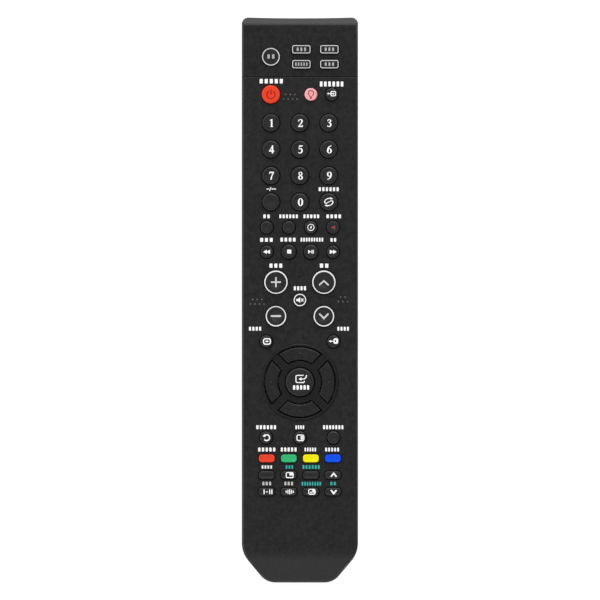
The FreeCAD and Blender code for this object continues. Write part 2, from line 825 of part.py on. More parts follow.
def make_bottom_case(doc, s, p, z):
    body = new_body(doc, "bottom_case")
    pad_outline(body, s, p, ZERO, s.parting_height)
    shape_belly(body, s, p)

    # The cavity is full width above a shoulder, and keeps clear of the rounded belly below it.
    sketch = new_sketch(body, "XY_Plane", s.cavity_shoulder_height)
    draw_cavity(sketch, s, p)
    pocket(body, sketch, s.parting_height - s.cavity_shoulder_height, True)
    sketch = new_sketch(body, "XY_Plane", s.floor_wall)
    draw_cavity(sketch, s, p, -s.cavity_shoulder_inset, p.front - s.cavity_nose_step)
    pocket(body, sketch, s.cavity_shoulder_height - s.floor_wall, True)

    # The tongue round the rim fits inside the upper pieces.
    sketch = new_sketch(body, "XY_Plane", s.parting_height)
    draw_cavity(sketch, s, p, s.rim_tongue_width)
    draw_cavity(sketch, s, p)
    pad(body, sketch, s.rim_tongue_height)

    # The cover's seat, the battery bay's walls and the posts under the board.
    cover_half = s.cover_width / 2 + s.cover_gap
    seat_half = cover_half + s.cover_seat_margin
    seat_head = p.cover_head + s.cover_gap + s.cover_seat_margin
    seat_tail = p.cover_tail - s.cover_gap - s.cover_seat_margin
    seat_low = s.floor_wall / 2
    sketch = new_sketch(body, "XY_Plane", seat_low)
    draw_box(sketch, -seat_half, seat_half, seat_tail, seat_head)
    pad(body, sketch, z.seat + s.cover_seat_thickness - seat_low)
    bay_outside = p.bay_half_width + s.bay_wall
    sketch = new_sketch(body, "XY_Plane", seat_low)
    draw_box(sketch, -bay_outside, bay_outside, p.bay_tail - s.bay_wall, p.bay_head + s.bay_wall)
    pad(body, sketch, z.bay_roof_top - seat_low)
    sketch = new_sketch(body, "XY_Plane", s.floor_wall)
    post_rows = (p.seam, p.seam / 2, ZERO)
    for row in post_rows:
        for side in (-1, 1):
            column = s.board_post_column * side
            draw_centred_box(sketch, column, row, s.board_post_width, s.board_post_width)
    pad(body, sketch, z.board_bottom - s.board_seat_gap - s.floor_wall)

    # The recess that the cover lies in, and the bay above it.
    sketch = new_sketch(body, "XY_Plane")
    recess_radius = s.cover_corner_radius + s.cover_gap
    recess_length = s.cover_length + s.cover_gap * 2
    draw_oblong(sketch, ZERO, p.bay_middle, cover_half * 2, recess_length, recess_radius)
    pocket(body, sketch, z.seat, True)
    sketch = new_sketch(body, "XY_Plane")
    draw_box(sketch, -p.bay_half_width, p.bay_half_width, p.bay_tail, p.bay_head)
    pocket(body, sketch, z.bay_ceiling, True)

    # Slots for the cover's hooks, high and long enough for them to swing down.
    slot_low = z.cover_inside - s.hook_thickness - s.cover_gap
    swing = root(s.hook_reach * s.hook_reach + s.cover_thickness * s.cover_thickness)
    slot_high = s.cover_inset + swing + s.hook_room
    slot_start = p.cover_head - s.cover_thickness - s.hook_room
    sketch = new_sketch(body, "XY_Plane", slot_low)
    for side in (-1, 1):
        column = s.hook_spacing / 2 * side
        half = s.hook_width / 2 + s.hook_room
        slot_end = p.cover_head + s.hook_reach + s.hook_room
        draw_box(sketch, column - half, column + half, slot_start, slot_end)
    pocket(body, sketch, slot_high - slot_low, True)

    # The contacts' tails come up to the board through the bay's roof.
    sketch = new_sketch(body, "XY_Plane")
    slot_half = s.contact_tail_width / 2 + s.contact_slot_gap
    slot_depth = s.contact_thickness + s.contact_slot_gap
    for side in (-1, 1):
        column = p.cell_column * side
        draw_box(sketch, column - slot_half, column + slot_half, p.bay_head - slot_depth, p.bay_head)
    pocket(body, sketch, z.bay_roof_top + s.board_seat_gap, True)

    # A hollow for the fingernail that lifts the cover's latch.
    sketch = new_sketch(body, "XY_Plane")
    draw_circle(sketch, ZERO, p.cover_tail, s.nail_notch_radius)
    pocket(body, sketch, s.nail_notch_depth, True)
    return body


def make_battery_cover(doc, s, p, z):
    body = new_body(doc, "battery_cover")
    sketch = new_sketch(body, "XY_Plane", s.cover_inset)
    corner = s.cover_corner_radius
    draw_oblong(sketch, ZERO, p.bay_middle, s.cover_width, s.cover_length, corner)
    pad(body, sketch, s.cover_thickness)

    # Two hooks at the head end reach over the case's floor.
    sketch = new_sketch(body, "XY_Plane", z.cover_inside - s.hook_thickness)
    for side in (-1, 1):
        column = s.hook_spacing / 2 * side
        half = s.hook_width / 2
        hook_end = p.cover_head + s.hook_reach
        draw_box(sketch, column - half, column + half, p.cover_head - s.hook_reach, hook_end)
    pad(body, sketch, s.hook_thickness)

    # Two slits free a springy latch at the tail end, which has a bead that snaps in the case.
    sketch = new_sketch(body, "XY_Plane", s.cover_inset)
    for side in (-1, 1):
        inner = s.latch_width / 2 * side
        outer = inner + s.latch_slit * side
        start, end = p.cover_tail - s.latch_slit, p.cover_tail + s.latch_length
        draw_loop(sketch, [(inner, start), (outer, start), (outer, end), (inner, end)])
    cut_through(body, sketch)
    sketch = new_sketch(body, "XY_Plane", z.cover_inside - s.cover_thickness / 2)
    bead_half = s.latch_bead_length / 2
    draw_box(sketch, -bead_half, bead_half, p.cover_tail - s.latch_bead, p.cover_tail + s.latch_bead)
    pad(body, sketch, s.latch_bead_height)

    # Grip grooves across the latch.
    sketch = new_sketch(body, "XY_Plane", s.cover_inset)
    groove_start = p.cover_tail + s.grip_groove_pitch
    groove_end = groove_start + s.grip_groove_width
    draw_box(sketch, -bead_half, bead_half, groove_start, groove_end)
    groove = pocket(body, sketch, s.grip_groove_depth, True)
    pattern = body.newObject("PartDesign::LinearPattern", "grooves")
    pattern.Originals = [groove]
    pattern.Direction = (origin_plane(body, "Y_Axis"), [""])
    pattern.Mode = "Spacing"
    pattern.setExpression("Offset", s.grip_groove_pitch.formula)
    pattern.setExpression("Occurrences", s.grip_groove_count.formula)
    body.Tip = pattern
    return body


def arrow_points(s, inner, outer, offset):
    """The corners of the arrow key above the pad's middle, between the two diagonal spokes. Its
    sides run parallel to the diagonals, offset from them."""
    half_root = math.sqrt(0.5)
    near = root(inner * inner - offset * offset)
    far = root(outer * outer - offset * offset)
    low_x, low_y = (near - offset) * half_root, (near + offset) * half_root
    high_x, high_y = (far - offset) * half_root, (far + offset) * half_root
    return [(-low_x, low_y), (low_x, low_y), (high_x, high_y), (-high_x, high_y)]


def turned(points, angle):
    """Points turned about the origin by a multiple of 90 degrees."""
    for quarter in range(angle // 90):
        points = [(-y, x) for x, y in points]
    return points


def draw_arrow(sketch, s, inner, outer, offset, angle=0, y=0.0):
    points = turned(arrow_points(s, inner, outer, offset), angle)
    points = [(across, along + y) for across, along in points]
    draw_loop(sketch, points, {0: (inner, -1), 2: (outer, 1)})


def make_direction_bezel(doc, s, p, r, z):
    """The pad's fixed ring, its four diagonal spokes and its hub, as one piece."""
    body = new_body(doc, "direction_bezel")
    centre = r.pad
    sketch = new_sketch(body, "XY_Plane", z.ceiling)
    draw_circle(sketch, ZERO, centre, s.pad_ring_radius)
    pad(body, sketch, s.top_wall + s.pad_ring_height)
    sketch = new_sketch(body, "XY_Plane", z.top)
    draw_circle(sketch, ZERO, centre, p.pad_inner)
    pocket(body, sketch, s.pad_ring_height, True)
    sketch = new_sketch(body, "XY_Plane", z.top)
    for name, angle in ARROWS:
        draw_arrow(sketch, s, s.pad_hub_radius, p.pad_inner, s.pad_spoke_width / 2, angle, centre)
    draw_circle(sketch, ZERO, centre, s.enter_key_radius + s.key_gap)
    cut_through(body, sketch)
    return body


def make_key(doc, s, z, key):
    """A cap that stands proud of the housing, on a wider flange that keeps it in and presses the
    rubber dome below."""
    body = new_body(doc, key.name)
    form = key.form
    if hasattr(form, "radius"):
        width = height = form.radius * 2
    else:
        width, height = form.width, form.height
    margin = (s.key_gap + s.flange_overlap) * 2
    sketch = new_sketch(body, "XY_Plane", z.flange_bottom)
    draw_centred_box(sketch, ZERO, ZERO, width + margin, height + margin)
    pad(body, sketch, s.flange_thickness)
    sketch = new_sketch(body, "XY_Plane", z.flange_top)
    if hasattr(form, "radius"):
        draw_circle(sketch, ZERO, ZERO, form.radius)
    else:
        draw_cut_corner_box(sketch, ZERO, ZERO, width, height, s.oblong_corner_radius)
    pad(body, sketch, z.top + s.key_height - z.flange_top)
    body.setExpression("Placement.Base.x", key.x.formula)
    body.setExpression("Placement.Base.y", key.y.formula)
    return body


def make_arrow_key(doc, s, p, r, z, name, angle):
    """One of the four keys that fill the pad between its hub, its ring and two spokes. Its ears
    reach under the spokes."""
    body = new_body(doc, name)
    inner = s.pad_hub_radius + s.key_gap
    outer = p.pad_inner - s.key_gap
    offset = s.pad_spoke_width / 2 + s.key_gap
    ear_start = inner + s.flange_overlap
    ear = ear_start - s.arrow_ear_gap
    sketch = new_sketch(body, "XY_Plane", z.flange_bottom)
    draw_box(sketch, -ear, ear, ear_start, ear_start + s.arrow_ear_depth)
    pad(body, sketch, s.flange_thickness)
    sketch = new_sketch(body, "XY_Plane", z.flange_top)
    draw_arrow(sketch, s, inner, outer, offset)
    pad(body, sketch, z.top + s.pad_ring_height - z.flange_top)
    body.Placement.Rotation = FreeCAD.Rotation(FreeCAD.Vector(0, 0, 1), angle)
    body.setExpression("Placement.Base.y", r.pad.formula)
    return body


def dome_places(s, r, keys):
    """The middles of the rubber domes, one under each key."""
    places = [(key.x, key.y) for key in keys]
    ear_start = s.pad_hub_radius + s.key_gap + s.flange_overlap
    distance = ear_start + s.arrow_ear_depth / 2
    for name, angle in ARROWS:
        (x, y), = turned([(ZERO, distance)], angle)
        places.append((x, y + r.pad))
    return places


def lamp_places(s, r):
    """Four backlight lamps, each in the middle of four digit keys."""
    columns = (-s.digit_column_pitch / 2, s.digit_column_pitch / 2)
    rows = [(r.digits[row] + r.digits[row + 1]) / 2 for row in (0, DIGIT_ROWS - 2)]
    return [(x, y) for x in columns for y in rows]


def make_contact_sheet(doc, s, p, r, z, keys):
    """The rubber sheet over the board, with a raised dome under each key. A dome that its key
    presses right down is as low as this."""
    body = new_body(doc, "contact_sheet")
    sketch = new_sketch(body, "XY_Plane", z.board_top)
    draw_cavity(sketch, s, p, -s.sheet_margin, p.sheet_front)
    pad(body, sketch, s.sheet_thickness)
    for some in batches(dome_places(s, r, keys), BOXES_AT_ONCE):
        sketch = new_sketch(body, "XY_Plane", z.sheet_top)
        for x, y in some:
            draw_centred_box(sketch, x, y, s.dome_width, s.dome_width)
        pad(body, sketch, s.dome_height)
    room = s.backlight_window_gap * 2
    sketch = new_sketch(body, "XY_Plane", z.sheet_top)
    for x, y in lamp_places(s, r):
        draw_centred_box(sketch, x, y, s.backlight_length + room, s.backlight_width + room)
    cut_through(body, sketch)
    return body


def make_circuit_board(doc, s, p, z):
    body = new_body(doc, "circuit_board")
    sketch = new_sketch(body, "XY_Plane", z.board_bottom)
    draw_cavity(sketch, s, p, -s.board_side_gap, p.board_front)
    pad(body, sketch, s.board_thickness)
    return body


def make_backlights(doc, s, r, z):
    """Small lamps on the board that light the digit keys, in windows of the contact sheet."""
    body_list = []
    for number, (x, y) in enumerate(lamp_places(s, r), start=1):
        body = new_body(doc, f"backlight_lamp_{number}")
        sketch = new_sketch(body, "XY_Plane", z.board_top)
        draw_centred_box(sketch, x, y, s.backlight_length, s.backlight_width)
        pad(body, sketch, s.backlight_height)
        body_list.append(body)
    return body_list


def make_control_chip(doc, s, p, z):
    """The remote's controller, under the board on two rows of leads."""
    body = new_body(doc, "control_chip")
    row = p.bay_head + s.chip_row
    body_top = z.board_bottom - s.chip_standoff
    sketch = new_sketch(body, "XY_Plane", body_top - s.chip_thickness)
    draw_centred_box(sketch, ZERO, row, s.chip_length, s.chip_width)
    pad(body, sketch, s.chip_thickness)
    first = s.chip_lead_pitch * (s.chip_lead_count - 1) / 2
    sketch = new_sketch(body, "XY_Plane", z.board_bottom - s.chip_lead_thickness)
    lead_length = s.chip_width + s.chip_lead_reach * 2
    draw_centred_box(sketch, -first, row, s.chip_lead_width, lead_length)
    lead = pad(body, sketch, s.chip_lead_thickness)
    pattern = body.newObject("PartDesign::LinearPattern", "leads")
    pattern.Originals = [lead]
    pattern.Direction = (origin_plane(body, "X_Axis"), [""])
    pattern.Mode = "Spacing"
    pattern.setExpression("Offset", s.chip_lead_pitch.formula)
    pattern.setExpression("Occurrences", s.chip_lead_count.formula)
    body.Tip = pattern
    return body


def make_board_components(doc, s, p, z):
    """A smoothing capacitor lying under the board and a resonator standing from it."""
    capacitor = new_body(doc, "capacitor")
    sketch = new_sketch(capacitor, "YZ_Plane")
    row = p.bay_head + s.capacitor_row
    draw_circle(sketch, row, z.board_bottom - s.capacitor_radius, s.capacitor_radius)
    pad_both_ways(capacitor, sketch, s.capacitor_length)
    resonator = new_body(doc, "resonator")
    sketch = new_sketch(resonator, "XY_Plane", z.board_bottom - s.resonator_height)
    length, width = s.resonator_length, s.resonator_width
    draw_oblong(sketch, ZERO, p.bay_head + s.resonator_row, length, width, s.resonator_corner_radius)
    pad(resonator, sketch, s.resonator_height)
    return [capacitor, resonator]


def make_emitters(doc, s, p, z):
    """Two infrared emitters that lie under the board's front edge and look out over the front."""
    emitters = []
    axis_height = z.board_bottom - s.emitter_lead_width / 2
    base = p.board_front + s.key_gap
    for side, name in ((-1, "left_emitter"), (1, "right_emitter")):
        body = new_body(doc, name)
        column = s.emitter_spacing / 2 * side
        sketch = new_sketch(body, "XZ_Plane", -base)
        draw_circle(sketch, column, axis_height, s.emitter_radius)
        pad(body, sketch, s.emitter_length, True)
        sketch = new_sketch(body, "XZ_Plane", -base)
        for lead in (-1, 1):
            lead_column = column + s.emitter_lead_pitch / 2 * lead
            width = s.emitter_lead_width
            draw_centred_box(sketch, lead_column, axis_height, width, width)
        pad(body, sketch, s.emitter_lead_length)
        emitters.append(body)
    return emitters


def make_cell(doc, s, p, z, name, side):
    """One AAA cell on its side, its button towards the head on the left and the tail on the right."""
    body = new_body(doc, name)
    shoulder = s.cell_length - s.cell_button_length
    sketch = new_sketch(body, "XY_Plane")
    points = [
        (ZERO, ZERO), (s.cell_radius, ZERO), (s.cell_radius, shoulder),
        (s.cell_button_radius, shoulder), (s.cell_button_radius, s.cell_length),
        (ZERO, s.cell_length),
    ]
    draw_loop(sketch, points)
    turn = body.newObject("PartDesign::Revolution", "turned")
    turn.Profile = sketch
    turn.ReferenceAxis = (sketch, ["V_Axis"])
    turn.Angle = 360
    if side < 0:
        start = p.bay_tail + p.contact_room + s.contact_tongue_reach
    else:
        start = p.bay_head - p.contact_room - s.contact_tongue_reach
        body.Placement.Rotation = FreeCAD.Rotation(FreeCAD.Vector(0, 0, 1), 180)
    body.setExpression("Placement.Base.x", (p.cell_column * side).formula)
    body.setExpression("Placement.Base.y", start.formula)
    body.setExpression("Placement.Base.z", z.cell_axis.formula)
    return body


def add_contact_plate(body, s, z, wall, inward, left, right):
    """A strip that stands against the bay's end wall."""
    low = z.cell_axis - s.contact_height / 2
    sketch = new_sketch(body, "XY_Plane", low)
    near, far = sorted((wall, wall + s.contact_thickness * inward), key=lambda place: place.value)
    draw_box(sketch, left, right, near, far)
    pad(body, sketch, s.contact_height)


def add_contact_tongue(body, s, z, wall, inward, column):
    """A springy tongue, bent out from the strip towards the cell's flat end."""
    face = wall + s.contact_thickness * inward
    low = z.cell_axis - s.contact_height / 2
    reach, height, thick = s.contact_tongue_reach, s.contact_height, s.contact_thickness
    profile = [
        (ZERO, ZERO),
        (reach, height / 2 - thick),
        (reach, height / 2 + thick),
        (thick * 2, height - thick),
        (thick, height - thick * 2),
        (reach - thick * 1.5, height / 2),
        (ZERO, thick * 3),
    ]
    points = [(face + out * inward, low + up) for out, up in profile]
    sketch = new_sketch(body, "YZ_Plane", column)
    draw_loop(sketch, points)
    pad_both_ways(body, sketch, s.contact_tongue_width)


def make_terminals(doc, s, p, z):
    """The head end's two contacts: a flat one on the left and a springy one on the right. Each
    has a tail that reaches the board."""
    terminals = []
    for side, name in ((-1, "button_terminal"), (1, "flat_terminal")):
        body = new_body(doc, name)
        column = p.cell_column * side
        half = s.contact_width / 2
        add_contact_plate(body, s, z, p.bay_head, -1, column - half, column + half)
        tail_low = z.cell_axis
        sketch = new_sketch(body, "XY_Plane", tail_low)
        half = s.contact_tail_width / 2
        inside = p.bay_head - s.contact_thickness
        draw_box(sketch, column - half, column + half, inside, p.bay_head)
        pad(body, sketch, z.board_bottom - tail_low)
        if side > 0:
            add_contact_tongue(body, s, z, p.bay_head, -1, column)
        terminals.append(body)
    return terminals


def make_series_contact(doc, s, p, z):
    """The tail end's contact, one strip across both cells with a springy tongue on the left."""
    body = new_body(doc, "series_contact")
    half = p.cell_column + s.contact_width / 2
    add_contact_plate(body, s, z, p.bay_tail, 1, -half, half)
    add_contact_tongue(body, s, z, p.bay_tail, 1, -p.cell_column)
    return body


def group(doc, name, bodies):
    compound = doc.addObject("Part::Compound", name)
    compound.Label = name
    compound.Links = bodies
    return compound


def make_keys(doc, s, p, r, z, keys):
    """A node for each key, and one for each row of keys that shares a node."""
    nodes = []
    shared = {}
    for key in keys:
        body = make_key(doc, s, z, key)
        if key.node == key.name:
            nodes.append(body)
        else:
            shared.setdefault(key.node, []).append(body)
    for name, angle in ARROWS:
        nodes.append(make_arrow_key(doc, s, p, r, z, name, angle))
    return nodes + [group(doc, name, bodies) for name, bodies in shared.items()]


def check(doc):
    """Stops if any object failed to build."""
    for item in doc.Objects:
        if "Invalid" in item.State or "Error" in item.State:
            raise RuntimeError(f"{item.Label} ({item.TypeId}) failed: {item.State}")


def write(node):
    shape = node.Shape
    if shape.isNull() or not shape.isValid():
        raise RuntimeError(f"{node.Label} has no valid shape")
    shape.exportStep(os.path.join("parts", f"{node.Label}.step"))


def main():
    doc = FreeCAD.newDocument("tv_remote")
    s = new_sheet(doc)
    p = plan(s)
    r = row_places(doc, s, p)
    z = stack(s)
    keys = key_list(s, r)
    case_keys = [key for key in keys if key.name != "enter_key"]
    head_keys = [key for key in case_keys if key.y.value > p.seam.value]
    body_keys = [key for key in case_keys if key.y.value < p.seam.value]

    nodes = [
        make_top_case(doc, s, p, r, z, body_keys),
        make_head_window(doc, s, p, z, head_keys),
        make_bottom_case(doc, s, p, z),
        make_battery_cover(doc, s, p, z),
        make_direction_bezel(doc, s, p, r, z),
        make_contact_sheet(doc, s, p, r, z, keys),
        make_circuit_board(doc, s, p, z),
        make_control_chip(doc, s, p, z),
        group(doc, "board_components", make_board_components(doc, s, p, z)),
        group(doc, "backlight_lamps", make_backlights(doc, s, r, z)),
        group(doc, "infrared_emitters", make_emitters(doc, s, p, z)),
        group(doc, "battery_terminals", make_terminals(doc, s, p, z)),
        make_series_contact(doc, s, p, z),
    ]
    cells = [make_cell(doc, s, p, z, "left_cell", -1), make_cell(doc, s, p, z, "right_cell", 1)]
    nodes.append(group(doc, "battery_cells", cells))
    nodes += make_keys(doc, s, p, r, z, keys)

    doc.recompute()
    check(doc)
    os.makedirs("parts", exist_ok=True)
    for node in nodes:
        write(node)
    print(f"{len(nodes)} nodes, {sum(len(node.Shape.Solids) for node in nodes)} solids")


main()
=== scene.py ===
"""Looks for a television remote control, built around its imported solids.

Lengths in the tables are millimetres; meshes are made in metres in the solids' own frame.
"""

import math

import bpy
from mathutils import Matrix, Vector


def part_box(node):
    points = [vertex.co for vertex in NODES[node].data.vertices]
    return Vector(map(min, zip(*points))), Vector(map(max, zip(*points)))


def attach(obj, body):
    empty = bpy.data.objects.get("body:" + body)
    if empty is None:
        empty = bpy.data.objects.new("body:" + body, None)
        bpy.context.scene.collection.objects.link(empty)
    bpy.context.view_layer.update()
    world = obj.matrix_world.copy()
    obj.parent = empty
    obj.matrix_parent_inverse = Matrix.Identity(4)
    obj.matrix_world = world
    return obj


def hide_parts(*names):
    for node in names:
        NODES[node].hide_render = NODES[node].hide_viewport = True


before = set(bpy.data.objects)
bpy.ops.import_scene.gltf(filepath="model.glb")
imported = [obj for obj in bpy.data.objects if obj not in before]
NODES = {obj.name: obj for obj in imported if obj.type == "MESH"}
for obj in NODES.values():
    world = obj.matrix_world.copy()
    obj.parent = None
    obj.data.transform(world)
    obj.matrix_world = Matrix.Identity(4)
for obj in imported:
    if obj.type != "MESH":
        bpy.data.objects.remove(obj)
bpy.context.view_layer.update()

MM = 0.001
TAU = math.tau
PICTURE = 600          # pixels along the picture's side
PX = 0.4177            # millimetres to one of its pixels
PX_ZERO = (300.12, 299.9)

CASE_TOP = 21.5
CRISP_BELOW = 19.5     # edges of the cases below this level stay crisp
LONG_SIDE = 23.3       # edges farther out than this are on the long sides
FRONT_SLOPE = 114.8    # edges farther forward than this are on the front slope
FRONT_CORNER = (21.5, 115.0)
TAIL_SLOPE = -101.5    # edges farther back than this are on the tail slope
SEAM = 93.2            # where the window section meets the top case
PAD_Y = -34.3
PAD_RING = 15.8        # the radius at which the pad's outer ring starts
SHARP_TURN = 18.0      # degrees between faces that make a sharp edge
SQUARE_FACE = 0.9999   # how close to an axis a normal is on a face that's shaded flat

INK = 0.03             # how far print stands proud
INK_STEP = 0.004       # how much higher each further stroke of one print lies
INK_ROOT = -0.12       # how far print reaches into what it lies on
STROKE_STEP = 0.4      # how far apart a stroke's points are on a straight run
FIGURE_WEIGHT = 0.92   # how heavy the digits' strokes are drawn
LABEL_HEIGHT = 0.86    # how much of a label's height its bars take up

FLANGE_REACH = 0.85
FLANGE_THICKNESS = 0.9
CAP_EASE = 0.08        # how much smaller a cap is drawn than the key's solid
SHOULDER_TURNS = [math.radians(15 * i) for i in range(1, 7)]


def at(px, py):
    """A place on the remote, in millimetres, from its pixel."""
    return (px - PX_ZERO[0]) * PX, (PX_ZERO[1] - py) * PX


# Materials.

def node_of(tree, kind, **values):
    node = tree.nodes.new(kind)
    for name, value in values.items():
        setattr(node, name, value)
    return node


def grain_bump(tree, coordinates, shader, grain, depth):
    """A fine moulded grain: noise of this size, and this deep, in millimetres."""
    noise = node_of(tree, "ShaderNodeTexNoise")
    noise.inputs["Scale"].default_value = 1 / (grain * MM)
    noise.inputs["Detail"].default_value = 3.0
    noise.inputs["Roughness"].default_value = 0.6
    tree.links.new(coordinates.outputs["Object"], noise.inputs["Vector"])
    bump = node_of(tree, "ShaderNodeBump")
    bump.inputs["Strength"].default_value = 1.0
    bump.inputs["Distance"].default_value = depth * MM
    tree.links.new(noise.outputs["Fac"], bump.inputs["Height"])
    tree.links.new(bump.outputs["Normal"], shader.inputs["Normal"])


def spread_value(tree, source, low, high):
    """Maps the middle of a noise to a range."""
    ramp = node_of(tree, "ShaderNodeMapRange")
    ramp.inputs["From Min"].default_value = 0.3
    ramp.inputs["From Max"].default_value = 0.7
    ramp.inputs["To Min"].default_value = low
    ramp.inputs["To Max"].default_value = high
    tree.links.new(source, ramp.inputs["Value"])
    return ramp.outputs["Result"]


def calculate(tree, operation, first, second=0.0, clamp=False):
    """The output of a maths node on two numbers or sockets."""
    node = node_of(tree, "ShaderNodeMath", operation=operation, use_clamp=clamp)
    for socket, value in zip(node.inputs, (first, second)):
        if isinstance(value, (int, float)):
            socket.default_value = value
        else:
            tree.links.new(value, socket)
    return node.outputs[0]


def finish(name, colour, rough, grain=0.22, depth=0.006, cloud=6.0, vary=0.08, **extra):
    """A moulded or printed surface: grain in its normal, a soft cloud in its colour and wear in its
    roughness."""
    material = bpy.data.materials.new(name)
    material.use_nodes = True
    tree = material.node_tree
    shader = tree.nodes["Principled BSDF"]
    coordinates = node_of(tree, "ShaderNodeTexCoord")
    grain_bump(tree, coordinates, shader, grain, depth)
    clouds = node_of(tree, "ShaderNodeTexNoise")
    clouds.inputs["Scale"].default_value = 1 / (cloud * MM)
    clouds.inputs["Detail"].default_value = 6.0
    clouds.inputs["Roughness"].default_value = 0.75
    tree.links.new(coordinates.outputs["Object"], clouds.inputs["Vector"])
    mix = node_of(tree, "ShaderNodeMix", data_type="RGBA")
    dark = [channel * (1 - vary) for channel in colour]
    light = [min(1.0, channel * (1 + vary)) for channel in colour]
    mix.inputs["A"].default_value = (*dark, 1)
    mix.inputs["B"].default_value = (*light, 1)
    tree.links.new(spread_value(tree, clouds.outputs["Fac"], 0.0, 1.0), mix.inputs["Factor"])
    tree.links.new(mix.outputs["Result"], shader.inputs["Base Color"])
    rough_out = spread_value(tree, clouds.outputs["Fac"], rough - 0.05, rough + 0.05)
    tree.links.new(rough_out, shader.inputs["Roughness"])
    for socket, value in extra.items():
        shader.inputs[socket.replace("_", " ")].default_value = value
    return material


def black(name, level, rough, specular, grain, depth, vary=0.22):
    return finish(name, (level, level, level), rough, grain, depth, 1.6, vary,
                  Specular_IOR_Level=specular)


def print_ink(name, colour, rough=0.5):
    return finish(name, colour, rough, 0.12, 0.002, 2.0, 0.03)


def bright(name, colour):
    return finish(name, colour, 0.42, 0.16, 0.003, 3.0, 0.05, Specular_IOR_Level=0.15)


CASE = black("case_plastic", 0.0068, 0.42, 0.33, 0.45, 0.022, 0.8)
WINDOW = black("window_plastic", 0.0066, 0.40, 0.33, 0.45, 0.018, 0.8)
KEY = black("key_plastic", 0.0078, 0.40, 0.40, 0.30, 0.009, 0.5)
ARROW = black("arrow_key_plastic", 0.0064, 0.42, 0.33, 0.40, 0.014, 0.5)
BEZEL = black("bezel_plastic", 0.0034, 0.42, 0.29, 0.45, 0.016, 0.5)
# The dots are moulded in the case's plastic; their much lighter colour is a painted highlight that
# stands for the light on their domes.
DOT_PAINTED_SHEEN = black("raised_dot_painted_sheen", 0.075, 0.5, 0.4, 0.2, 0.003, 0.1)
WHITE = print_ink("white_ink", (0.88, 0.88, 0.88))
SILVER = print_ink("ring_paint", (0.74, 0.74, 0.74), 0.4)
GREY = print_ink("grey_ink", (0.36, 0.36, 0.36))
SOFT_GREY = print_ink("soft_grey_ink", (0.55, 0.55, 0.55))
TEAL = print_ink("teal_ink", (0.016, 0.40, 0.37))
DIM_RED = print_ink("dim_red_ink", (0.24, 0.018, 0.018))
# The pad keys' arrows are painted shade: a thin sheet a little darker than the key, where the key's
# top shows an arrow dark by its relief.
ARROW_MARK_SHADE = print_ink("arrow_mark_painted_shade", (0.006, 0.006, 0.006))
POWER_RED = bright("power_red", (0.70, 0.047, 0.017))
POWER_DARK = bright("power_dark", (0.38, 0.016, 0.008))
LAMP_PINK = bright("lamp_pink", (0.74, 0.345, 0.35))
LAMP_DARK = bright("lamp_dark", (0.34, 0.035, 0.045))
KEY_RED = bright("key_red", (0.665, 0.046, 0.018))
KEY_GREEN = bright("key_green", (0.028, 0.40, 0.15))
KEY_YELLOW = bright("key_yellow", (0.775, 0.715, 0.001))
KEY_BLUE = bright("key_blue", (0.0003, 0.066, 0.72))
RUBBER = finish("sheet_rubber", (0.2, 0.2, 0.21), 0.7, 0.3, 0.01)
BOARD = finish("board_laminate", (0.03, 0.16, 0.06), 0.4, 0.5, 0.004)
CHIP = finish("chip_resin", (0.02, 0.02, 0.02), 0.5, 0.1, 0.006)
SLEEVE = finish("component_shell", (0.05, 0.06, 0.12), 0.35, 0.2, 0.002)
LAMP = finish("lamp_resin", (0.8, 0.75, 0.5), 0.2, 0.3, 0.001)
EMITTER = finish("emitter_resin", (0.05, 0.03, 0.07), 0.12, 0.3, 0.001)
STEEL = finish("contact_steel", (0.6, 0.59, 0.56), 0.28, 0.15, 0.002, 2.0, 0.06, Metallic=1.0)
JACKET = finish("cell_jacket", (0.035, 0.05, 0.085), 0.35, 0.3, 0.002)
BAND = finish("cell_band", (0.62, 0.63, 0.65), 0.3, 0.3, 0.002)


def dress(name, material):
    """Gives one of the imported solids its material."""
    slots = NODES[name].data.materials
    slots.clear()
    slots.append(material)


for name, material in {
    "top_case": CASE, "bottom_case": CASE, "battery_cover": CASE, "head_window": WINDOW,
    "direction_bezel": BEZEL, "contact_sheet": RUBBER, "circuit_board": BOARD,
    "control_chip": CHIP, "board_components": SLEEVE, "backlight_lamps": LAMP,
    "infrared_emitters": EMITTER, "battery_terminals": STEEL, "series_contact": STEEL,
    "battery_cells": JACKET,
}.items():
    dress(name, material)


# Housing edges.

def case_edge(x, y, z):
    """How much to round an edge of the cases, by where it lies in millimetres: the long sides most,
    the seam and the ends less, and the key holes and the inside not at all."""
    if z < CRISP_BELOW or abs(x) > FRONT_CORNER[0] and y > FRONT_CORNER[1]:
        return 0.0
    if y > FRONT_SLOPE or y < TAIL_SLOPE or abs(y - SEAM) < 0.3:
        return 0.5
    return 1.0 if abs(x) > LONG_SIDE else 0.0


def pad_edge(x, y, z):
    """The pad's ring is round outside and crisper inside."""
    return 1.0 if math.hypot(x, y - PAD_Y) > PAD_RING else 0.3


def key_edge(top):
    """A key is round at its top, at this level, and crisper below."""
    return lambda x, y, z: 1.0 if z > top - 0.05 else 0.35


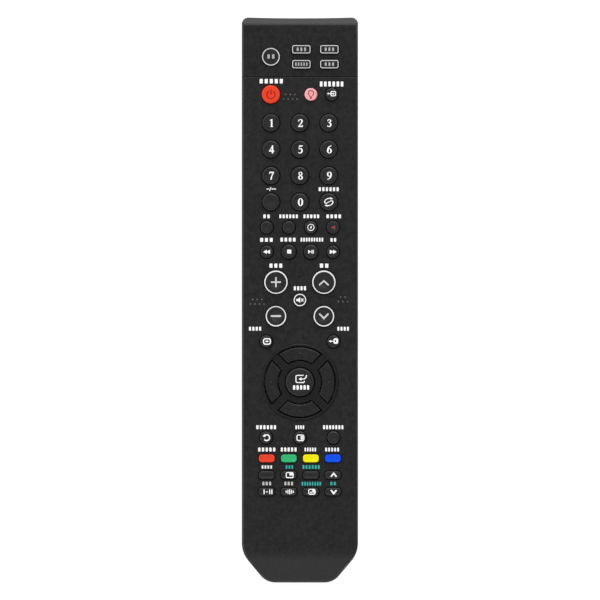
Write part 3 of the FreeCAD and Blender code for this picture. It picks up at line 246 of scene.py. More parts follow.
def soften(name, width, weigh=None, segments=3, shrink=0.0):
    """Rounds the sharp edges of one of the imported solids, where wanted, and keeps its flats flat.
    weigh gives an edge's share of the width by its place, and shrink draws the faces in first, in
    millimetres.

    The solid's vertices are split where its faces meet, so an edge with a single face is one of
    two copies, and it is sharp if the faces beside the two copies turn by more than a little."""
    thing = NODES[name]
    mesh = thing.data
    for polygon in mesh.polygons:
        level = abs(polygon.normal.z) > SQUARE_FACE
        at_seam = abs(polygon.normal.y) > SQUARE_FACE and abs(polygon.center.y / MM - SEAM) < 1.0
        polygon.use_smooth = not (level or at_seam)
    owners = {}
    for polygon in mesh.polygons:
        for key in polygon.edge_keys:
            owners.setdefault(key, []).append(polygon.normal.copy())

    def spot(index):
        return tuple(round(value / MM, 3) for value in mesh.vertices[index].co)

    borders = {}
    for edge in mesh.edges:
        if len(owners.get(edge.key, ())) == 1:
            borders.setdefault(tuple(sorted(map(spot, edge.vertices))), []).append(edge)
    weights = mesh.attributes.new("bevel_weight_edge", "FLOAT", "EDGE")
    for ends, copies in borders.items():
        first, last = owners[copies[0].key][0], owners[copies[-1].key][0]
        if len(copies) == 2 and first.dot(last) > math.cos(math.radians(SHARP_TURN)):
            continue
        weight = 1.0 if weigh is None else weigh(*(sum(pair) / 2 for pair in zip(*ends)))
        for edge in copies:
            weights.data[edge.index].value = weight
            edge.use_edge_sharp = weight == 0.0
    weld = thing.modifiers.new("weld", "WELD")
    weld.merge_threshold = 0.002 * MM
    if shrink:
        fit = thing.modifiers.new("fit", "DISPLACE")
        fit.strength = -shrink * MM
        fit.mid_level = 0.0
    flats = thing.modifiers.new("flats", "DECIMATE")
    flats.decimate_type = "DISSOLVE"
    flats.angle_limit = math.radians(0.4)
    flats.delimit = {"SHARP"}
    bevel = thing.modifiers.new("edges", "BEVEL")
    bevel.width = width * MM
    bevel.segments = segments
    bevel.limit_method = "WEIGHT"
    bevel.use_clamp_overlap = False
    bevel.miter_outer = "MITER_ARC"
    even = thing.modifiers.new("shading", "WEIGHTED_NORMAL")
    even.mode = "FACE_AREA"
    even.weight = 100
    even.keep_sharp = True


soften("top_case", 0.5, case_edge)
soften("head_window", 0.5, case_edge)
soften("bottom_case", 0.25)
soften("battery_cover", 0.16)
soften("direction_bezel", 0.5, pad_edge, segments=5)


# Shells.

class Shell:
    """Collects closed forms, in millimetres, and makes one piece of them."""

    def __init__(self):
        self.points = []
        self.faces = []

    def add(self, points, faces):
        base = len(self.points)
        self.points += points
        self.faces += [[base + i for i in face] for face in faces]

    def loops(self, loops):
        """A capped skin over loops of one count, from the lowest outside to the innermost."""
        count = len(loops[0])
        points = [point for loop in loops for point in loop]
        faces = []
        for layer in range(len(loops) - 1):
            a, b = layer * count, (layer + 1) * count
            for i in range(count):
                j = (i + 1) % count
                faces.append([a + i, a + j, b + j, b + i])
        last = (len(loops) - 1) * count
        faces.append(list(range(count - 1, -1, -1)))
        faces.append([last + i for i in range(count)])
        self.add(points, faces)

    def piece(self, name, body, material, slot, smooth=40):
        mesh = bpy.data.meshes.new(name)
        mesh.from_pydata([(x * MM, y * MM, z * MM) for x, y, z in self.points], [], self.faces)
        mesh.materials.append(material)
        mesh.polygons.foreach_set("use_smooth", [True] * len(mesh.polygons))
        mesh.set_sharp_from_angle(angle=math.radians(smooth))
        mesh.update()
        thing = bpy.data.objects.new(name, mesh)
        bpy.context.scene.collection.objects.link(thing)
        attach(thing, body)
        return thing


def ellipse(x, y, a, b, count=40):
    return [(x + a * math.cos(TAU * i / count), y + b * math.sin(TAU * i / count))
            for i in range(count)]


def circle(x, y, radius, count=72):
    return ellipse(x, y, radius, radius, count)


def rounded(x, y, width, height, radius, count=8):
    """The outline of a rounded rectangle, anticlockwise, with count steps to a corner."""
    radius = min(radius, width / 2 - 0.001, height / 2 - 0.001)
    points = []
    corners = ((1, 1, 0), (-1, 1, 90), (-1, -1, 180), (1, -1, 270))
    for side_x, side_y, start in corners:
        cx, cy = x + side_x * (width / 2 - radius), y + side_y * (height / 2 - radius)
        for i in range(count + 1):
            angle = math.radians(start + 90 * i / count)
            points.append((cx + radius * math.cos(angle), cy + radius * math.sin(angle)))
    return points


def lift(loop, z):
    return [(x, y, z) for x, y in loop]


# Print.

class Ink:
    """Flat marks laid on a surface: strokes, bands and filled outlines about a middle."""

    def __init__(self, x, y, surface):
        self.x, self.y, self.surface = x, y, surface
        self.shell = Shell()
        self.layer = 0

    def place(self, x, y, up):
        x, y = self.x + x, self.y + y
        base = self.surface(x, y) if callable(self.surface) else self.surface
        return x, y, base + up

    def heights(self):
        self.layer += 1
        return INK_ROOT, INK + INK_STEP * self.layer

    def sections(self, pairs, closed=False):
        """A strip through pairs of left and right points."""
        low, high = self.heights()
        points, faces = [], []
        for left, right in pairs:
            points += [self.place(*left, low), self.place(*left, high),
                       self.place(*right, high), self.place(*right, low)]
        steps = len(pairs) if closed else len(pairs) - 1
        for i in range(steps):
            a, b = i * 4, (i + 1) % len(pairs) * 4
            for k in range(4):
                m = (k + 1) % 4
                faces.append([a + m, a + k, b + k, b + m])
        if not closed:
            last = (len(pairs) - 1) * 4
            faces.append([0, 1, 2, 3])
            faces.append([last + 3, last + 2, last + 1, last])
        self.shell.add(points, faces)

    def brush(self, points, widths, round_ends=True):
        """A stroke through points. Its width may change on the way."""
        if not isinstance(widths, (list, tuple)):
            widths = [widths] * len(points)
        pairs = []
        count = len(points)
        directions = []
        for i in range(count):
            before, after = points[max(i - 1, 0)], points[min(i + 1, count - 1)]
            length = math.hypot(after[0] - before[0], after[1] - before[1])
            directions.append(((after[0] - before[0]) / length, (after[1] - before[1]) / length))

        def cut(point, direction, half, ahead=0.0):
            x, y = point[0] + direction[0] * ahead, point[1] + direction[1] * ahead
            return ((x - direction[1] * half, y + direction[0] * half),
                    (x + direction[1] * half, y - direction[0] * half))

        turns = [math.radians(angle) for angle in (85, 65, 45, 25)]
        if round_ends:
            half = widths[0] / 2
            pairs += [cut(points[0], directions[0], half * math.cos(t), -half * math.sin(t))
                      for t in turns]
        for i in range(count):
            half = widths[i] / 2
            if 0 < i < count - 1:
                a, b = points[i - 1], points[i + 1]
                u = (points[i][0] - a[0], points[i][1] - a[1])
                v = (b[0] - points[i][0], b[1] - points[i][1])
                lengths = math.hypot(*u) * math.hypot(*v)
                bend = (u[0] * v[0] + u[1] * v[1]) / lengths
                half /= max(0.5, math.sqrt(max(0.0, (1 + bend) / 2)))
            pairs.append(cut(points[i], directions[i], half))
        if round_ends:
            half = widths[-1] / 2
            pairs += [cut(points[-1], directions[-1], half * math.cos(t), half * math.sin(t))
                      for t in reversed(turns)]
        self.sections(pairs)

    def line(self, points, width, round_ends=True):
        """A stroke of one width, along straight runs."""
        dense = [points[0]]
        for start, end in zip(points, points[1:]):
            steps = max(1, int(math.dist(start, end) / STROKE_STEP))
            for i in range(1, steps + 1):
                dense.append((start[0] + (end[0] - start[0]) * i / steps,
                              start[1] + (end[1] - start[1]) * i / steps))
        self.brush(dense, width, round_ends)

    def arc(self, x, y, radius, start, end, width):
        steps = max(6, int(abs(end - start) / 10))
        angles = [math.radians(start + (end - start) * i / steps) for i in range(steps + 1)]
        self.brush([(x + radius * math.cos(a), y + radius * math.sin(a)) for a in angles], width)

    def band(self, outer, inner):
        self.sections(list(zip(inner, outer)), closed=True)

    def fill(self, loop):
        low, high = self.heights()
        bottom = [self.place(x, y, low) for x, y in loop]
        top = [self.place(x, y, high) for x, y in loop]
        self.shell.loops([bottom, top])

    def piece(self, name, body, material, slot):
        return self.shell.piece(name, body, material, slot, smooth=30)


def smooth_path(points, steps=5):
    """A smooth path through points given as x, y, width."""
    made = []
    count = len(points)
    for i in range(count - 1):
        p0, p1 = points[max(i - 1, 0)], points[i]
        p2, p3 = points[i + 1], points[min(i + 2, count - 1)]
        for step in range(steps):
            t = step / steps
            made.append(tuple(
                0.5 * (2 * b + (c - a) * t + (2 * a - 5 * b + 4 * c - d) * t * t
                       + (3 * b - a - 3 * c + d) * t ** 3)
                for a, b, c, d in zip(p0, p1, p2, p3)))
    made.append(points[-1])
    return [(x, y) for x, y, w in made], [w for x, y, w in made]


# Bold figures with serifs, in a box one unit high: brushes as x, y, width and filled outlines.
FIGURES = {
    "0": {"bands": [((0, 0.5, 0.33, 0.5), (0, 0.5, 0.13, 0.41))]},
    "1": {"fills": [[(-0.19, 0), (0.19, 0), (0.19, 0.05), (0.1, 0.09), (0.1, 1.0), (0.03, 1.0),
                     (-0.23, 0.87), (-0.23, 0.81), (-0.09, 0.84), (-0.09, 0.09), (-0.19, 0.05)]]},
    "2": {"brushes": [[(-0.23, 0.74, 0.15), (-0.19, 0.86, 0.12), (-0.03, 0.94, 0.10),
                       (0.15, 0.87, 0.17), (0.19, 0.70, 0.20), (0.10, 0.50, 0.17),
                       (-0.08, 0.28, 0.11), (-0.22, 0.12, 0.10)]],
          "fills": [[(-0.31, 0), (0.26, 0), (0.32, 0.23), (0.26, 0.23), (0.21, 0.15),
                     (-0.22, 0.15), (-0.31, 0.07)]]},
    "3": {"brushes": [[(-0.22, 0.78, 0.12), (-0.13, 0.90, 0.09), (0.02, 0.94, 0.11),
                       (0.15, 0.82, 0.18), (0.10, 0.64, 0.15), (-0.08, 0.54, 0.08)],
                      [(-0.08, 0.54, 0.08), (0.10, 0.47, 0.15), (0.18, 0.29, 0.20),
                       (0.08, 0.09, 0.15), (-0.10, 0.05, 0.10), (-0.23, 0.12, 0.13)]]},
    "4": {"brushes": [[(0.12, 0.93, 0.10), (-0.25, 0.34, 0.10)]],
          "fills": [[(0.02, 0), (0.20, 0), (0.20, 1.0), (0.06, 1.0), (0.02, 0.9)],
                    [(-0.33, 0.22), (0.32, 0.22), (0.32, 0.36), (-0.33, 0.36)]]},
    "5": {"brushes": [[(-0.15, 0.88, 0.09), (-0.19, 0.56, 0.09)],
                      [(-0.20, 0.55, 0.09), (-0.02, 0.60, 0.13), (0.16, 0.49, 0.19),
                       (0.19, 0.28, 0.20), (0.06, 0.09, 0.15), (-0.12, 0.05, 0.10),
                       (-0.24, 0.11, 0.12)]],
          "fills": [[(-0.18, 0.84), (0.22, 0.84), (0.28, 1.0), (-0.16, 1.0)]]},
    "6": {"brushes": [[(0.24, 0.95, 0.08), (0.02, 0.86, 0.12), (-0.16, 0.64, 0.18),
                       (-0.21, 0.36, 0.19)]],
          "bands": [((0, 0.31, 0.31, 0.32), (0, 0.31, 0.12, 0.24))]},
    "7": {"brushes": [[(0.22, 0.88, 0.12), (0.06, 0.55, 0.14), (-0.03, 0.28, 0.17),
                       (-0.06, 0.08, 0.19)]],
          "fills": [[(-0.30, 0.72), (-0.25, 0.72), (-0.20, 0.83), (0.28, 0.83), (0.30, 1.0),
                     (-0.27, 1.0)]]},
    "8": {"bands": [((0, 0.76, 0.25, 0.24), (0, 0.76, 0.10, 0.16)),
                    ((0, 0.27, 0.30, 0.27), (0, 0.27, 0.12, 0.18))]},
}


def draw_figure(ink, figure, x, y, size):
    """Draws a digit about x, y. A nine is a six turned half round."""
    turn = 1
    if figure == "9":
        figure, turn = "6", -1
    parts = FIGURES[figure]

    def put(px, py):
        return x + px * size * turn, y + (py - 0.5) * size * turn

    for path in parts.get("brushes", []):
        points, widths = smooth_path(path)
        weight = size * FIGURE_WEIGHT
        ink.brush([put(*point) for point in points], [width * weight for width in widths])
    for outline in parts.get("fills", []):
        ink.fill([put(*point) for point in outline])
    for outer, inner in parts.get("bands", []):
        loops = [ellipse(*put(cx, cy), a * size, b * size) for cx, cy, a, b in (outer, inner)]
        ink.band(*loops)


# Key caps.

def middle_of(node):
    """A solid's middle, width and height from above, and its lowest and highest level."""
    low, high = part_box(node)
    return ((low.x + high.x) / 2 / MM, (low.y + high.y) / 2 / MM,
            (high.x - low.x) / MM, (high.y - low.y) / MM, low.z / MM, high.z / MM)


def add_flange(shell, x, y, width, height, low):
    flange = rounded(x, y, width, height, 0.05, 1)
    shell.loops([lift(flange, low), lift(flange, low + FLANGE_THICKNESS)])


def round_key(name, material, slot, shoulder=0.6, dish=0.14, flat=0.35):
    """A turned cap with a rounded shoulder and a shallow dish, on its square flange. Returns its
    middle and the height of its top at any place."""
    x, y, width, height, low, top = middle_of(name)
    radius = width / 2 - FLANGE_REACH - CAP_EASE
    shell = Shell()
    add_flange(shell, x, y, width, height, low)
    profile = [(radius, low + FLANGE_THICKNESS), (radius, top - shoulder)]
    for angle in SHOULDER_TURNS:
        profile.append((radius - shoulder + shoulder * math.cos(angle),
                        top - shoulder + shoulder * math.sin(angle)))
    rim = radius - shoulder - flat

    def height_at(px, py):
        reach = math.hypot(px - x, py - y)
        if reach >= rim:
            return top
        return top - dish * (0.5 + 0.5 * math.cos(math.pi * reach / rim))

    for share in (1.0, 0.85, 0.7, 0.55, 0.4, 0.25, 0.1):
        profile.append((rim * share, height_at(x + rim * share, y)))
    shell.loops([lift(circle(x, y, r), z) for r, z in profile])
    piece = shell.piece(f"{name}_cap", name, material, slot)
    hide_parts(name)
    return x, y, height_at


def oblong_caps(node, places, width, height, material, slot, corner=1.2, shoulder=0.4, dish=0.1):
    """Rounded rectangular caps, one or several to a node. Returns the height of their tops at any
    place."""
    low, top = middle_of(node)[4:]
    shell = Shell()
    steps = ((0.0, 0.0), (0.12, 0.15), (0.3, 0.7), (0.5, 1.0))   # how the dish falls inwards
    for x, y in places:
        add_flange(shell, x, y, width + FLANGE_REACH * 2, height + FLANGE_REACH * 2, low)
        loops = [lift(rounded(x, y, width, height, corner), low + FLANGE_THICKNESS),
                 lift(rounded(x, y, width, height, corner), top - shoulder)]
        for angle in SHOULDER_TURNS:
            inset = shoulder * (1 - math.cos(angle))
            loops.append(lift(rounded(x, y, width - inset * 2, height - inset * 2, corner - inset),
                              top - shoulder + shoulder * math.sin(angle)))
        for inset, drop in steps[1:]:
            reach = shoulder + inset
            loops.append(lift(rounded(x, y, width - reach * 2, height - reach * 2,
                                      max(0.25, corner - reach)), top - dish * drop))
        shell.loops(loops)
    piece = shell.piece(f"{node}_cap", node, material, slot)
    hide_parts(node)

    def height_at(px, py):
        x, y = min(places, key=lambda place: math.hypot(px - place[0], py - place[1]))
        depth = min(width / 2 - abs(px - x), height / 2 - abs(py - y))
        if depth < shoulder:
            fall = shoulder - max(depth, 0.0)
            return top - shoulder + math.sqrt(max(0.0, shoulder ** 2 - fall ** 2))
        for (near, less), (far, more) in zip(steps, steps[1:]):
            if depth - shoulder <= far:
                share = (depth - shoulder - near) / (far - near)
                return top - dish * (less + (more - less) * share)
        return top - dish
    return height_at


# Key tables.

BLACK = (KEY, "key_plastic")
round_places = {}
for name in ("key_1", "key_2", "key_3", "key_4", "key_5", "key_6", "key_7", "key_8", "key_9",
             "key_dash", "key_0", "key_previous", "stop_key", "play_key", "list_key",
             "antenna_key", "timer_key", "record_key", "rewind_key", "forward_key", "input_key",
             "menu_key", "exit_key", "return_key", "info_key", "caption_key"):
    round_places[name] = round_key(name, *BLACK)
round_places["enter_key"] = round_key("enter_key", *BLACK, shoulder=0.7, dish=0.2)
round_places["power_key"] = round_key("power_key", POWER_RED, "power_red", 0.6, 0.12)
round_places["lamp_key"] = round_key("lamp_key", LAMP_PINK, "lamp_pink", 0.5, 0.08)
round_places["tv_key"] = round_key("tv_key", *BLACK, shoulder=0.25, dish=0.0)
for name in ("volume_up_key", "channel_up_key", "volume_down_key", "channel_down_key"):
    round_places[name] = round_key(name, *BLACK, shoulder=0.25, dish=0.4, flat=0.75)
round_places["mute_key"] = round_key("mute_key", *BLACK, shoulder=0.2, dish=0.1, flat=0.5)

COLOURS = {"red_key": (KEY_RED, "key_red"), "green_key": (KEY_GREEN, "key_green"),
           "yellow_key": (KEY_YELLOW, "key_yellow"), "blue_key": (KEY_BLUE, "key_blue")}
OBLONG = (6.6, 3.3)
for name, (material, slot) in COLOURS.items():
    x, y = middle_of(name)[:2]
    oblong_caps(name, [(x, y)], *OBLONG, material, slot)

row_places, row_surfaces = {}, {}
for name in ("picture_keys", "sound_keys"):
    x, y, width = middle_of(name)[:3]
    pitch = (width - OBLONG[0] - FLANGE_REACH * 2) / 3
    row_places[name] = [(x + pitch * (i - 1.5), y) for i in range(4)]
    row_surfaces[name] = oblong_caps(name, row_places[name], *OBLONG, *BLACK)

DEVICE = (7.85, 3.6)
x, y, width, height = middle_of("device_keys")[:4]
across = (width - DEVICE[0] - FLANGE_REACH * 2) / 2
along = (height - DEVICE[1] - FLANGE_REACH * 2) / 2
device_places = [(x - across, y + along), (x + across, y + along),
                 (x - across, y - along), (x + across, y - along)]
device_surface = oblong_caps("device_keys", device_places, *DEVICE, *BLACK,
                             corner=0.9, shoulder=0.2, dish=0.0)

# The pad's keys keep their own solids, and lie this way from its middle.
ARROW_KEYS = {"up_key": (0, 1), "left_key": (-1, 0), "down_key": (0, -1), "right_key": (1, 0)}
ARROW_MARK_REACH = 12.1
for name in ARROW_KEYS:
    dress(name, ARROW)
    soften(name, 0.65, key_edge(middle_of(name)[5]), segments=5, shrink=0.3)


# Marks on the keys.

def mark(name, draw, material=WHITE, slot="key_plastic"):
    ink = Ink(*round_places[name])
    draw(ink)
    ink.piece(f"{name}_mark", name, material, slot)


for figure in "1234567890":
    mark(f"key_{figure}", lambda ink, f=figure: draw_figure(ink, f, 0.25, -0.05, 3.3))


def ring(name, outer, inner, shift, material):
    """A painted ring on a key's rim, a little thicker on one side."""
    ink = Ink(*round_places[name])
    ink.band(circle(0, 0, outer), circle(0, shift, inner))
    ink.piece(f"{name}_ring", name, material, "key_plastic")


for name, shift in (("volume_up_key", -0.08), ("channel_up_key", -0.1)):
    ring(name, 4.85, 4.38, shift, SILVER)
for name, shift in (("volume_down_key", 0.06), ("channel_down_key", 0.0)):
    ring(name, 4.26, 3.82, shift, SILVER)
ring("mute_key", 2.6, 2.18, 0, SILVER)
ring("tv_key", 3.68, 3.28, 0, SOFT_GREY)


def plus(ink):
    ink.line([(-1.85, 0), (1.85, 0)], 0.62)
    ink.line([(0, -1.85), (0, 1.85)], 0.62)


mark("volume_up_key", plus, SOFT_GREY)
mark("volume_down_key", lambda ink: ink.line([(-1.8, 0.1), (1.8, 0.1)], 0.8), SOFT_GREY)
mark("channel_up_key", lambda ink: ink.line([(-1.8, -1.1), (0, 0.55), (1.8, -1.1)], 0.6),
     SOFT_GREY)
mark("channel_down_key", lambda ink: ink.line([(-1.7, 0.9), (0, -0.85), (1.7, 0.9)], 0.72),
     SOFT_GREY)


def power(ink):
    ink.arc(0, -0.15, 1.7, 128, 412, 0.6)
    ink.line([(0, 0.2), (0, 1.75)], 0.6)


def bulb(ink):
    ink.arc(0, 0.5, 1.1, -55, 235, 0.36)
    ink.line([(-0.6, -0.5), (-0.3, -1.0)], 0.34)
    ink.line([(0.6, -0.5), (0.3, -1.0)], 0.34)
    ink.fill(rounded(0, -1.45, 0.75, 0.8, 0.2, 4))


def box_arrow(ink, x, y, width, height, stroke=0.36):
    """A rounded box with an arrow into it from the left."""
    ink.band(rounded(x, y, width, height, 0.6),
             rounded(x, y, width - stroke * 2, height - stroke * 2, 0.3))
    ink.line([(x - width, y), (x + 0.05, y)], stroke)
    ink.fill([(x + 0.6, y), (x - 0.1, y + 0.5), (x - 0.1, y - 0.5)])
    ink.fill([(x - width - 0.35, y), (x - width + 0.35, y - 0.45), (x - width + 0.35, y + 0.45)])


mark("power_key", power, POWER_DARK, "power_red")
mark("lamp_key", bulb, LAMP_DARK, "lamp_pink")
mark("input_key", lambda ink: box_arrow(ink, 0.62, 0.3, 2.3, 2.2))


def swap_arrows(ink):
    """Two hooked arrows that chase each other."""
    points, widths = smooth_path([
        (1.0, 1.55, 0.5), (-0.1, 1.5, 0.36), (-1.2, 1.0, 0.36),
        (-1.75, 0.05, 0.42), (-1.05, -0.5, 0.34), (0.35, 0.2, 0.22)])
    head = ((1.75, 1.35), (0.7, 1.98), (0.8, 1.0))
    for turn in (1, -1):
        ink.brush([(x * turn, y * turn) for x, y in points], widths)
        ink.fill([(x * turn, y * turn) for x, y in head])


def clock(ink):
    ink.band(circle(0, 0, 1.45, 40), circle(0, 0, 1.18, 40))
    ink.fill([(0.2, 0.75), (-0.35, 0.0), (-0.1, -0.6), (0.4, 0.0)])


def wind(ink, turn):
    for start in (-1.35, 0.0):
        x = start if turn > 0 else -start
        ink.fill([(x, -0.9 * turn), (x + 1.5 * turn, 0), (x, 0.9 * turn)])


def play_pause(ink):
    ink.fill([(-1.15, -0.72), (0.15, 0.05), (-1.15, 0.82)])
    ink.fill(rounded(0.42, 0.05, 0.36, 1.5, 0.08, 3))
    ink.fill(rounded(0.98, 0.05, 0.36, 1.5, 0.08, 3))


def speaker(ink):
    ink.fill([(-1.5, -0.45), (-0.8, -0.45), (0.1, -1.15), (0.1, 1.15), (-0.8, 0.45), (-1.5, 0.45)])
    ink.line([(0.5, 0.5), (1.4, -0.5)], 0.3)
    ink.line([(0.5, -0.5), (1.4, 0.5)], 0.3)


def screen_lines(ink):
    ink.band(rounded(0.3, 0, 3.3, 2.75, 1.0), rounded(0.3, 0, 2.35, 1.8, 0.6))
    ink.fill(ellipse(0.3, 0.05, 0.62, 0.36, 16))


def way_out(ink):
    ink.band(rounded(0.95, 0.2, 1.9, 2.3, 0.6), rounded(0.75, 0.2, 0.6, 0.8, 0.2))
    ink.line([(-1.3, 0.1), (0.1, 0.1)], 0.4)
    ink.fill([(-2.0, 0.1), (-1.1, -0.45), (-1.1, 0.65)])


def turn_back(ink):
    ink.arc(0.2, -0.05, 1.2, -135, 130, 0.5)
    ink.fill([(-1.55, 0.5), (-0.5, 1.6), (-0.3, 0.2)])


def page(ink):
    ink.band(rounded(0.2, -0.1, 3.3, 2.75, 0.9), rounded(0.2, -0.1, 2.4, 1.85, 0.5))
    ink.fill(rounded(0.75, -0.1, 0.9, 1.5, 0.3, 4))


def enter(ink, x, y):
    """An open box with an arrow turning in from its corner."""
    stroke = 0.42
    ink.line([(x + 0.9, y + 1.5), (x - 1.55, y + 1.5)], stroke)
    ink.arc(x - 1.5, y + 0.9, 0.6, 90, 180, stroke)
    ink.line([(x - 2.1, y + 0.9), (x - 2.1, y - 0.9)], stroke)
    ink.arc(x - 1.5, y - 0.9, 0.6, 180, 270, stroke)
    ink.line([(x - 1.5, y - 1.5), (x + 0.9, y - 1.5)], stroke)
    ink.arc(x + 0.9, y - 1.0, 0.5, -90, 0, stroke)
    points, widths = smooth_path([(2.3, 1.4, 0.5), (1.95, 0.5, 0.45), (1.2, 0.02, 0.42),
                                  (0.1, 0.0, 0.4)])
    ink.brush([(x + px, y + py) for px, py in points], widths)
    ink.fill([(x - 1.0, y), (x + 0.2, y + 0.72), (x + 0.2, y - 0.72)])


mark("key_previous", swap_arrows)
mark("timer_key", clock)
mark("record_key", lambda ink: ink.fill([(-0.95, 0.0), (0.95, -0.85), (0.95, 0.85)]), DIM_RED)
mark("rewind_key", lambda ink: wind(ink, -1))
mark("forward_key", lambda ink: wind(ink, 1))
mark("stop_key", lambda ink: ink.fill(rounded(0.15, 0.1, 1.7, 1.65, 0.12, 3)))
mark("play_key", play_pause)
mark("mute_key", speaker)
mark("menu_key", screen_lines)
mark("exit_key", way_out)
mark("return_key", turn_back)
mark("info_key", page)


# Labels.

def bars(ink, x, y, width, height, count, fill=0.62):
    """A label: a row of plain bars."""
    pitch = width / count
    for i in range(count):
        middle = x - width / 2 + pitch * (i + 0.5)
        ink.fill(rounded(middle, y, pitch * fill, height * LABEL_HEIGHT, 0.2, 3))


# Labels on the case, in pixels: middle, width and height, and the number of bars.
WHITE_LABELS = (
    (271.5, 81.3, 25.0, 5.2, 5), (331.8, 84.1, 25.0, 5.8, 6), (328.9, 189.2, 21.4, 4.5, 6),
    (266.8, 216.3, 8.0, 4.3, 2), (288.8, 216.3, 19.7, 4.3, 6), (311.5, 216.3, 17.0, 4.3, 5),
    (333.9, 216.3, 16.0, 4.3, 4), (266.7, 239.8, 14.4, 4.5, 3), (288.2, 239.6, 16.7, 4.5, 4),
    (312.1, 239.6, 23.5, 4.5, 9), (333.5, 239.8, 7.0, 4.3, 2), (276.1, 265.6, 14.6, 4.8, 3),
    (324.3, 265.6, 10.5, 4.8, 2), (300.1, 288.2, 13.4, 4.7, 4), (255.3, 328.6, 13.4, 4.5, 4),
    (343.3, 328.6, 12.7, 4.5, 4), (266.4, 427.0, 21.0, 4.6, 6), (300.0, 427.0, 9.6, 4.4, 4),
    (333.4, 427.0, 21.4, 4.6, 7), (267.0, 449.3, 18.5, 4.6, 5), (288.9, 449.3, 17.0, 4.6, 5),
    (310.5, 449.3, 12.5, 4.4, 5), (332.3, 449.3, 15.0, 4.4, 5), (267.1, 466.7, 11.5, 3.8, 4),
)
TEAL_LABELS = (
    (289.6, 466.7, 8.4, 4.2, 3), (311.3, 466.7, 18.3, 4.4, 6), (311.6, 483.4, 20.3, 4.4, 8),
    (333.3, 483.2, 6.9, 4.2, 2),
)
GREY_LABELS = ((267.0, 483.2, 10.0, 4.2, 3), (288.9, 483.2, 9.8, 4.2, 3))

for title, labels, material in (("white", WHITE_LABELS, WHITE), ("teal", TEAL_LABELS, TEAL),
                                ("grey", GREY_LABELS, SOFT_GREY)):
    ink = Ink(0, 0, CASE_TOP)
    for px, py, width, height, count in labels:
        ink.layer = 0
        bars(ink, *at(px, py), width * PX, height * PX, count)
    if title == "white":
        # The three dashes and the slash over the dash key.
        x, y = at(271.3, 189.0)
        for left, right in ((-1.75, -1.05), (0.35, 0.95), (1.3, 1.9)):
            ink.line([(x + left, y), (x + right, y)], 0.42)
        ink.line([(x - 0.6, y - 0.65), (x - 0.1, y + 0.65)], 0.36)
    ink.piece(f"case_print_{title}", "housing", material, "case_plastic")


# Raised dots.

DOT_PITCH, DOT_RADIUS, DOT_HEIGHT = 1.9, 0.4, 0.26


def dome(shell, x, y):
    loops = [lift(circle(x, y, DOT_RADIUS, 16), CASE_TOP - 0.1)]
    for share in (0.0, 0.35, 0.65, 0.88):
        around = circle(x, y, DOT_RADIUS * math.sqrt(1 - share * share), 16)
        loops.append(lift(around, CASE_TOP + DOT_HEIGHT * share))
    shell.loops(loops)


# Three groups of two staggered rows, by the pixel of their middle and the longer row's count.
dots = Shell()
for (px, py), row in (((290.6, 97.0), 4), ((257.5, 301.8), 4), ((343.1, 299.3), 3)):
    x, y = at(px, py)
    for count, rise in ((row, -0.5), (row - 1, 0.5)):
        for i in range(count):
            dome(dots, x + (i - (count - 1) / 2) * DOT_PITCH, y + rise * DOT_PITCH)
# The dots' lighter colour is a painted highlight.
dots.piece("raised_dots", "housing", DOT_PAINTED_SHEEN, "case_plastic")


# Marks on the remaining keys.

def enter_mark(ink):
    enter(ink, 0.45, 1.35)
    bars(ink, 0.5, -2.2, 17.4 * PX, 5.0 * PX, 5)


mark("enter_key", enter_mark)
mark("tv_key", lambda ink: bars(ink, 0, 0.1, 9.2 * PX, 5.0 * PX, 2, 0.5), GREY)

# A ring and a label on each device key, with the label's number of bars and width in pixels.
rings = Ink(0, 0, device_surface)
ink = Ink(0, 0, device_surface)
for (x, y), count, width in zip(device_places, (3, 3, 5, 3), (11.0, 11.0, 13.6, 11.0)):
    rings.layer = ink.layer = 0
    rings.band(rounded(x, y, 7.6, 3.4, 0.8), rounded(x, y, 6.95, 2.75, 0.5))
    bars(ink, x, y, width * PX, 4.2 * PX, count, 0.5)
rings.piece("device_keys_ring", "device_keys", SOFT_GREY, "key_plastic")
ink.piece("device_keys_mark", "device_keys", GREY, "key_plastic")


def chevron(ink, x, y, turn):
    ink.line([(x - 1.15, y - 0.7 * turn), (x, y + 0.75 * turn), (x + 1.15, y - 0.7 * turn)],
             0.6, False)


def inset_picture(ink, x, y):
    ink.band(rounded(x, y, 3.3, 2.5, 0.7), rounded(x, y, 2.5, 1.7, 0.35))
    ink.fill(rounded(x + 0.65, y + 0.45, 1.6, 1.2, 0.2, 4))


def corner_picture(ink, x, y):
    ink.band(rounded(x, y, 3.1, 2.4, 0.8), rounded(x, y, 2.3, 1.6, 0.4))
    ink.fill(rounded(x + 0.75, y + 0.3, 1.1, 1.4, 0.2, 4))
    ink.fill(rounded(x - 0.35, y - 0.25, 0.7, 0.6, 0.15, 4))


def strokes(ink, x, y):
    """One stroke, a dash and two strokes."""
    for shift in (-1.6, 0.75, 1.65):
        ink.fill(rounded(x + 0.45 + shift, y, 0.45, 1.9, 0.05, 2))
    ink.line([(x - 0.45, y), (x + 0.4, y)], 0.34, False)


def levels(ink, x, y):
    """Upright bars, tallest in the middle."""
    for shift, height in ((-1.5, 0.9), (-0.75, 1.6), (0, 2.2), (0.75, 1.6), (1.5, 0.9)):
        ink.fill(rounded(x + shift, y, 0.42, height, 0.1, 3))


ink = Ink(0, 0, row_surfaces["picture_keys"])
(_, (bx, by), _, (dx, dy)) = row_places["picture_keys"]
inset_picture(ink, bx + 0.35, by)
chevron(ink, dx + 0.3, dy, 1)
ink.piece("picture_keys_mark", "picture_keys", WHITE, "key_plastic")

ink = Ink(0, 0, row_surfaces["sound_keys"])
((ax, ay), (bx, by), (cx, cy), (dx, dy)) = row_places["sound_keys"]
strokes(ink, ax, ay)
levels(ink, bx + 0.35, by)
corner_picture(ink, cx + 0.4, cy)
chevron(ink, dx + 0.3, dy, -1)
ink.piece("sound_keys_mark", "sound_keys", WHITE, "key_plastic")
